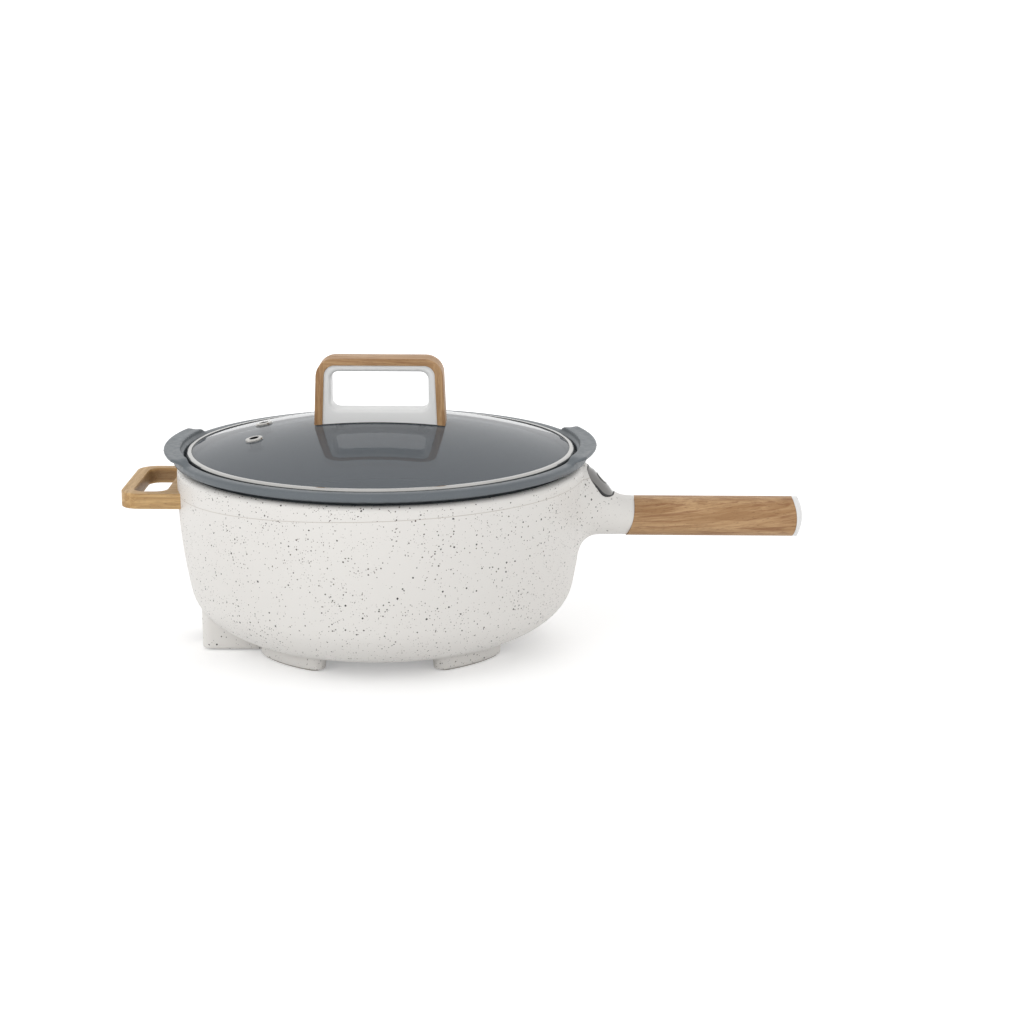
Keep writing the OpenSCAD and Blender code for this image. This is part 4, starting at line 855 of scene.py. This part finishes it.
# An ear is a spun band that shrinks back into the flange between EAR_FLAT and EAR_FOOT degrees
EAR_R, EAR_LIFT, EAR_T, EAR_FLAT, EAR_FOOT = 162.0, 4.4, 2.5, 20.5, 25.0
EAR_IN, EAR_ROOT = 149.3, 152.6
ear_top = FLANGE_TOP + EAR_LIFT
ear_outline = [(EAR_IN, 146.4), (EAR_ROOT, 146.4), (EAR_ROOT, FLANGE_TOP),
               (EAR_R - 0.6, ear_top - EAR_T), (EAR_R, ear_top - 1.2), (EAR_R - 0.8, ear_top),
               ((EAR_R + EAR_IN) / 2, ear_top - 0.7), (EAR_IN, ear_top)]
ears = []
for side in (0, 180):
    ear = lathe("ear", ear_outline + ear_outline[:1], 56, side - EAR_FOOT, 2 * EAR_FOOT)
    pick(ear)
    bpy.ops.object.mode_set(mode="EDIT")
    bpy.ops.mesh.select_mode(type="EDGE")
    bpy.ops.mesh.select_all(action="DESELECT")
    bpy.ops.mesh.select_non_manifold()
    bpy.ops.mesh.fill_holes(sides=20)
    close_up()
    for v in ear.data.vertices:
        turn = math.degrees(math.atan2(v.co.y, v.co.x)) - side
        turn = abs((turn + 180) % 360 - 180)
        share = min(1.0, max(0.0, (EAR_FOOT - turn) / (EAR_FOOT - EAR_FLAT)))
        share = share * share * (3 - 2 * share)
        reach = math.hypot(v.co.x, v.co.y) / MM
        if reach > EAR_ROOT:
            v.co.xy *= (EAR_ROOT + (reach - EAR_ROOT) * share) / reach
        if v.co.z > FLANGE_TOP * MM:
            v.co.z = FLANGE_TOP * MM + (v.co.z - FLANGE_TOP * MM) * share - 0.0003 * (1 - share)
    ears.append(ear)
flange = join("flange", flange, *ears)
melt(flange, 0.95, 5)
pot = join("pot", pot, flange)
pick(pot)
bpy.ops.transform.rotate(value=-math.radians(POT_TURN), orient_axis="Z", center_override=(0, 0, 0))
settle("pot")
dress_up(pot, coating)
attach(pot, "pot")
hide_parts("inner_pot")

# %% [markdown]
# ## The side handle
# The loop is a moulding with a printed wood film, so its edges are well rounded and its
# inner corners are wide, for the fingers. It starts as a block with rounded corners;
# the opening is a second block with its own corners, and the housing's round side
# gives the root its curve. The edges are rounded last, as a modeller would do it.

# %% The side handle's loop
LOOP_X, LOOP_W, LOOP_Z, LOOP_T, LOOP_BAR, LOOP_CORNER = 190.5, 96.4, 122.5, 11.5, 8.8, 14.5
LOOP_ROOT, OPENING_CORNER, LOOP_ROUND = 4.0, 9.0, 2.6
loop = block("side_loop", (-LOOP_X, -LOOP_W / 2, LOOP_Z - LOOP_T), (-120, LOOP_W / 2, LOOP_Z),
             LOOP_CORNER, 10)
opening = block("loop_opening", (LOOP_BAR - LOOP_X, LOOP_BAR - LOOP_W / 2, LOOP_Z - 2 * LOOP_T),
                (-BODY_R - LOOP_ROOT, LOOP_W / 2 - LOOP_BAR, LOOP_Z + LOOP_T), OPENING_CORNER, 10)
carve(loop, opening)
clear_selection()
bpy.ops.mesh.primitive_cylinder_add(vertices=256, radius=(BODY_R - 0.2) * MM, depth=0.06,
                                    location=(0, 0, LOOP_Z * MM))
carve(loop, settle("body_cut"))
change(loop, "BEVEL", width=LOOP_ROUND * MM, segments=4, limit_method="ANGLE",
       angle_limit=math.radians(50))
dress_up(loop, loop_wood)
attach(loop, "housing")
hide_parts("side_handle")

# %% [markdown]
# ## The lid's handle
# A white moulded frame carries a wood-look band that runs up one side, over the top and
# down the other. Both narrow upwards by a little. Each is a block whose top is drawn
# in, whose two upper corners are rounded, and whose foot is cut to the glass dome. The
# frame's finger hole has wide rounded lips, front and back.

# %% The band of the lid's handle
DOME_R, LID_R, RIM_W, GLASS_EDGE = 500.0, 145.0, 3.6, 5.95
dome_z = SEAT_Z + GLASS_EDGE + DOME_R - math.sqrt(DOME_R ** 2 - (LID_R - RIM_W) ** 2)
KNOB_W, KNOB_D, KNOB_H, KNOB_CORNER = 98.0, 22.0, 48.5, 13.0
LEG_T, TOP_T, LEG_LEAN, FIT, DOME_GAP = 5.8, 5.0, 2.2, 0.15, 0.8
HOLE_W, HOLE_H, HOLE_DOWN, HOLE_CORNER, LIP_ROUND = 72.6, 28.8, 9.8, 6.0, 2.6
knob_top = dome_z + KNOB_H
hole_top = knob_top - HOLE_DOWN
hole_low = hole_top - HOLE_H
frame_d = KNOB_D - 2
inner_corner = KNOB_CORNER - (LEG_T + TOP_T) / 2


def arch(name, half, top, low, depth, corner):
    """A block that narrows to its top, with its two upper corners rounded."""
    piece = block(name, (-half, -depth / 2, low), (half, depth / 2, top))
    for v in piece.data.vertices:
        if v.co.z > (top - 1) * MM:
            v.co.x *= (half - LEG_LEAN) / half
    round_edges(piece, corner, 10, lambda a, b: min(a.z, b.z) > (top - 1) * MM
                and abs(a.x - b.x) < 1e-6)
    return piece


def dome(name, lift):
    """The room under the glass dome's outside, lifted a little, as a tool."""
    radius, reach, steps, deep = DOME_R + lift, 60, 24, 30
    outline = [(r, dome_z - DOME_R + math.sqrt(radius ** 2 - r ** 2))
               for r in (reach * i / steps for i in range(steps + 1))]
    return lathe(name, [(0, dome_z - deep), (reach, dome_z - deep)] + outline[::-1], 240)


low = dome_z - 6
band = arch("lid_band", KNOB_W / 2, knob_top, low, KNOB_D, KNOB_CORNER)
carve(band, arch("band_inside", KNOB_W / 2 - LEG_T, knob_top - TOP_T, low - 1, KNOB_D + 2,
                 inner_corner))
carve(band, dome("dome_cut", DOME_GAP))
change(band, "BEVEL", width=0.9 * MM, segments=3, limit_method="ANGLE",
       angle_limit=math.radians(50))
dress_up(band, band_wood)
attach(band, "lid")
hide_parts("lid_handle_band")

# %% The frame
knob_frame = arch("lid_frame", KNOB_W / 2 - LEG_T - FIT, knob_top - TOP_T - FIT, low,
                  frame_d, inner_corner - FIT)
carve(knob_frame, dome("dome_cut", DOME_GAP))
change(knob_frame, "BEVEL", width=0.5 * MM, segments=2, limit_method="ANGLE",
       angle_limit=math.radians(50))
hole = block("frame_hole", (-HOLE_W / 2, -20, hole_low), (HOLE_W / 2, 20, hole_top))
round_edges(hole, HOLE_CORNER, 8, lambda a, b: abs(a.x - b.x) + abs(a.z - b.z) < 1e-7)
carve(knob_frame, hole)


def on_mouth(point):
    """Whether a point lies on the rim of the finger hole, at the front or the back."""
    near = 0.1
    return (abs(abs(point.y) - frame_d / 2 * MM) < near * MM / 10
            and abs(point.x) < (HOLE_W / 2 + near) * MM
            and (hole_low - near) * MM < point.z < (hole_top + near) * MM)


round_edges(knob_frame, LIP_ROUND, 6,
            lambda a, b: on_mouth(a) and on_mouth(b) and a.y * b.y > 0)
dress_up(knob_frame, white)
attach(knob_frame, "lid")
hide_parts("lid_handle_frame")

# %% Measure the sizes
low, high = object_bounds()
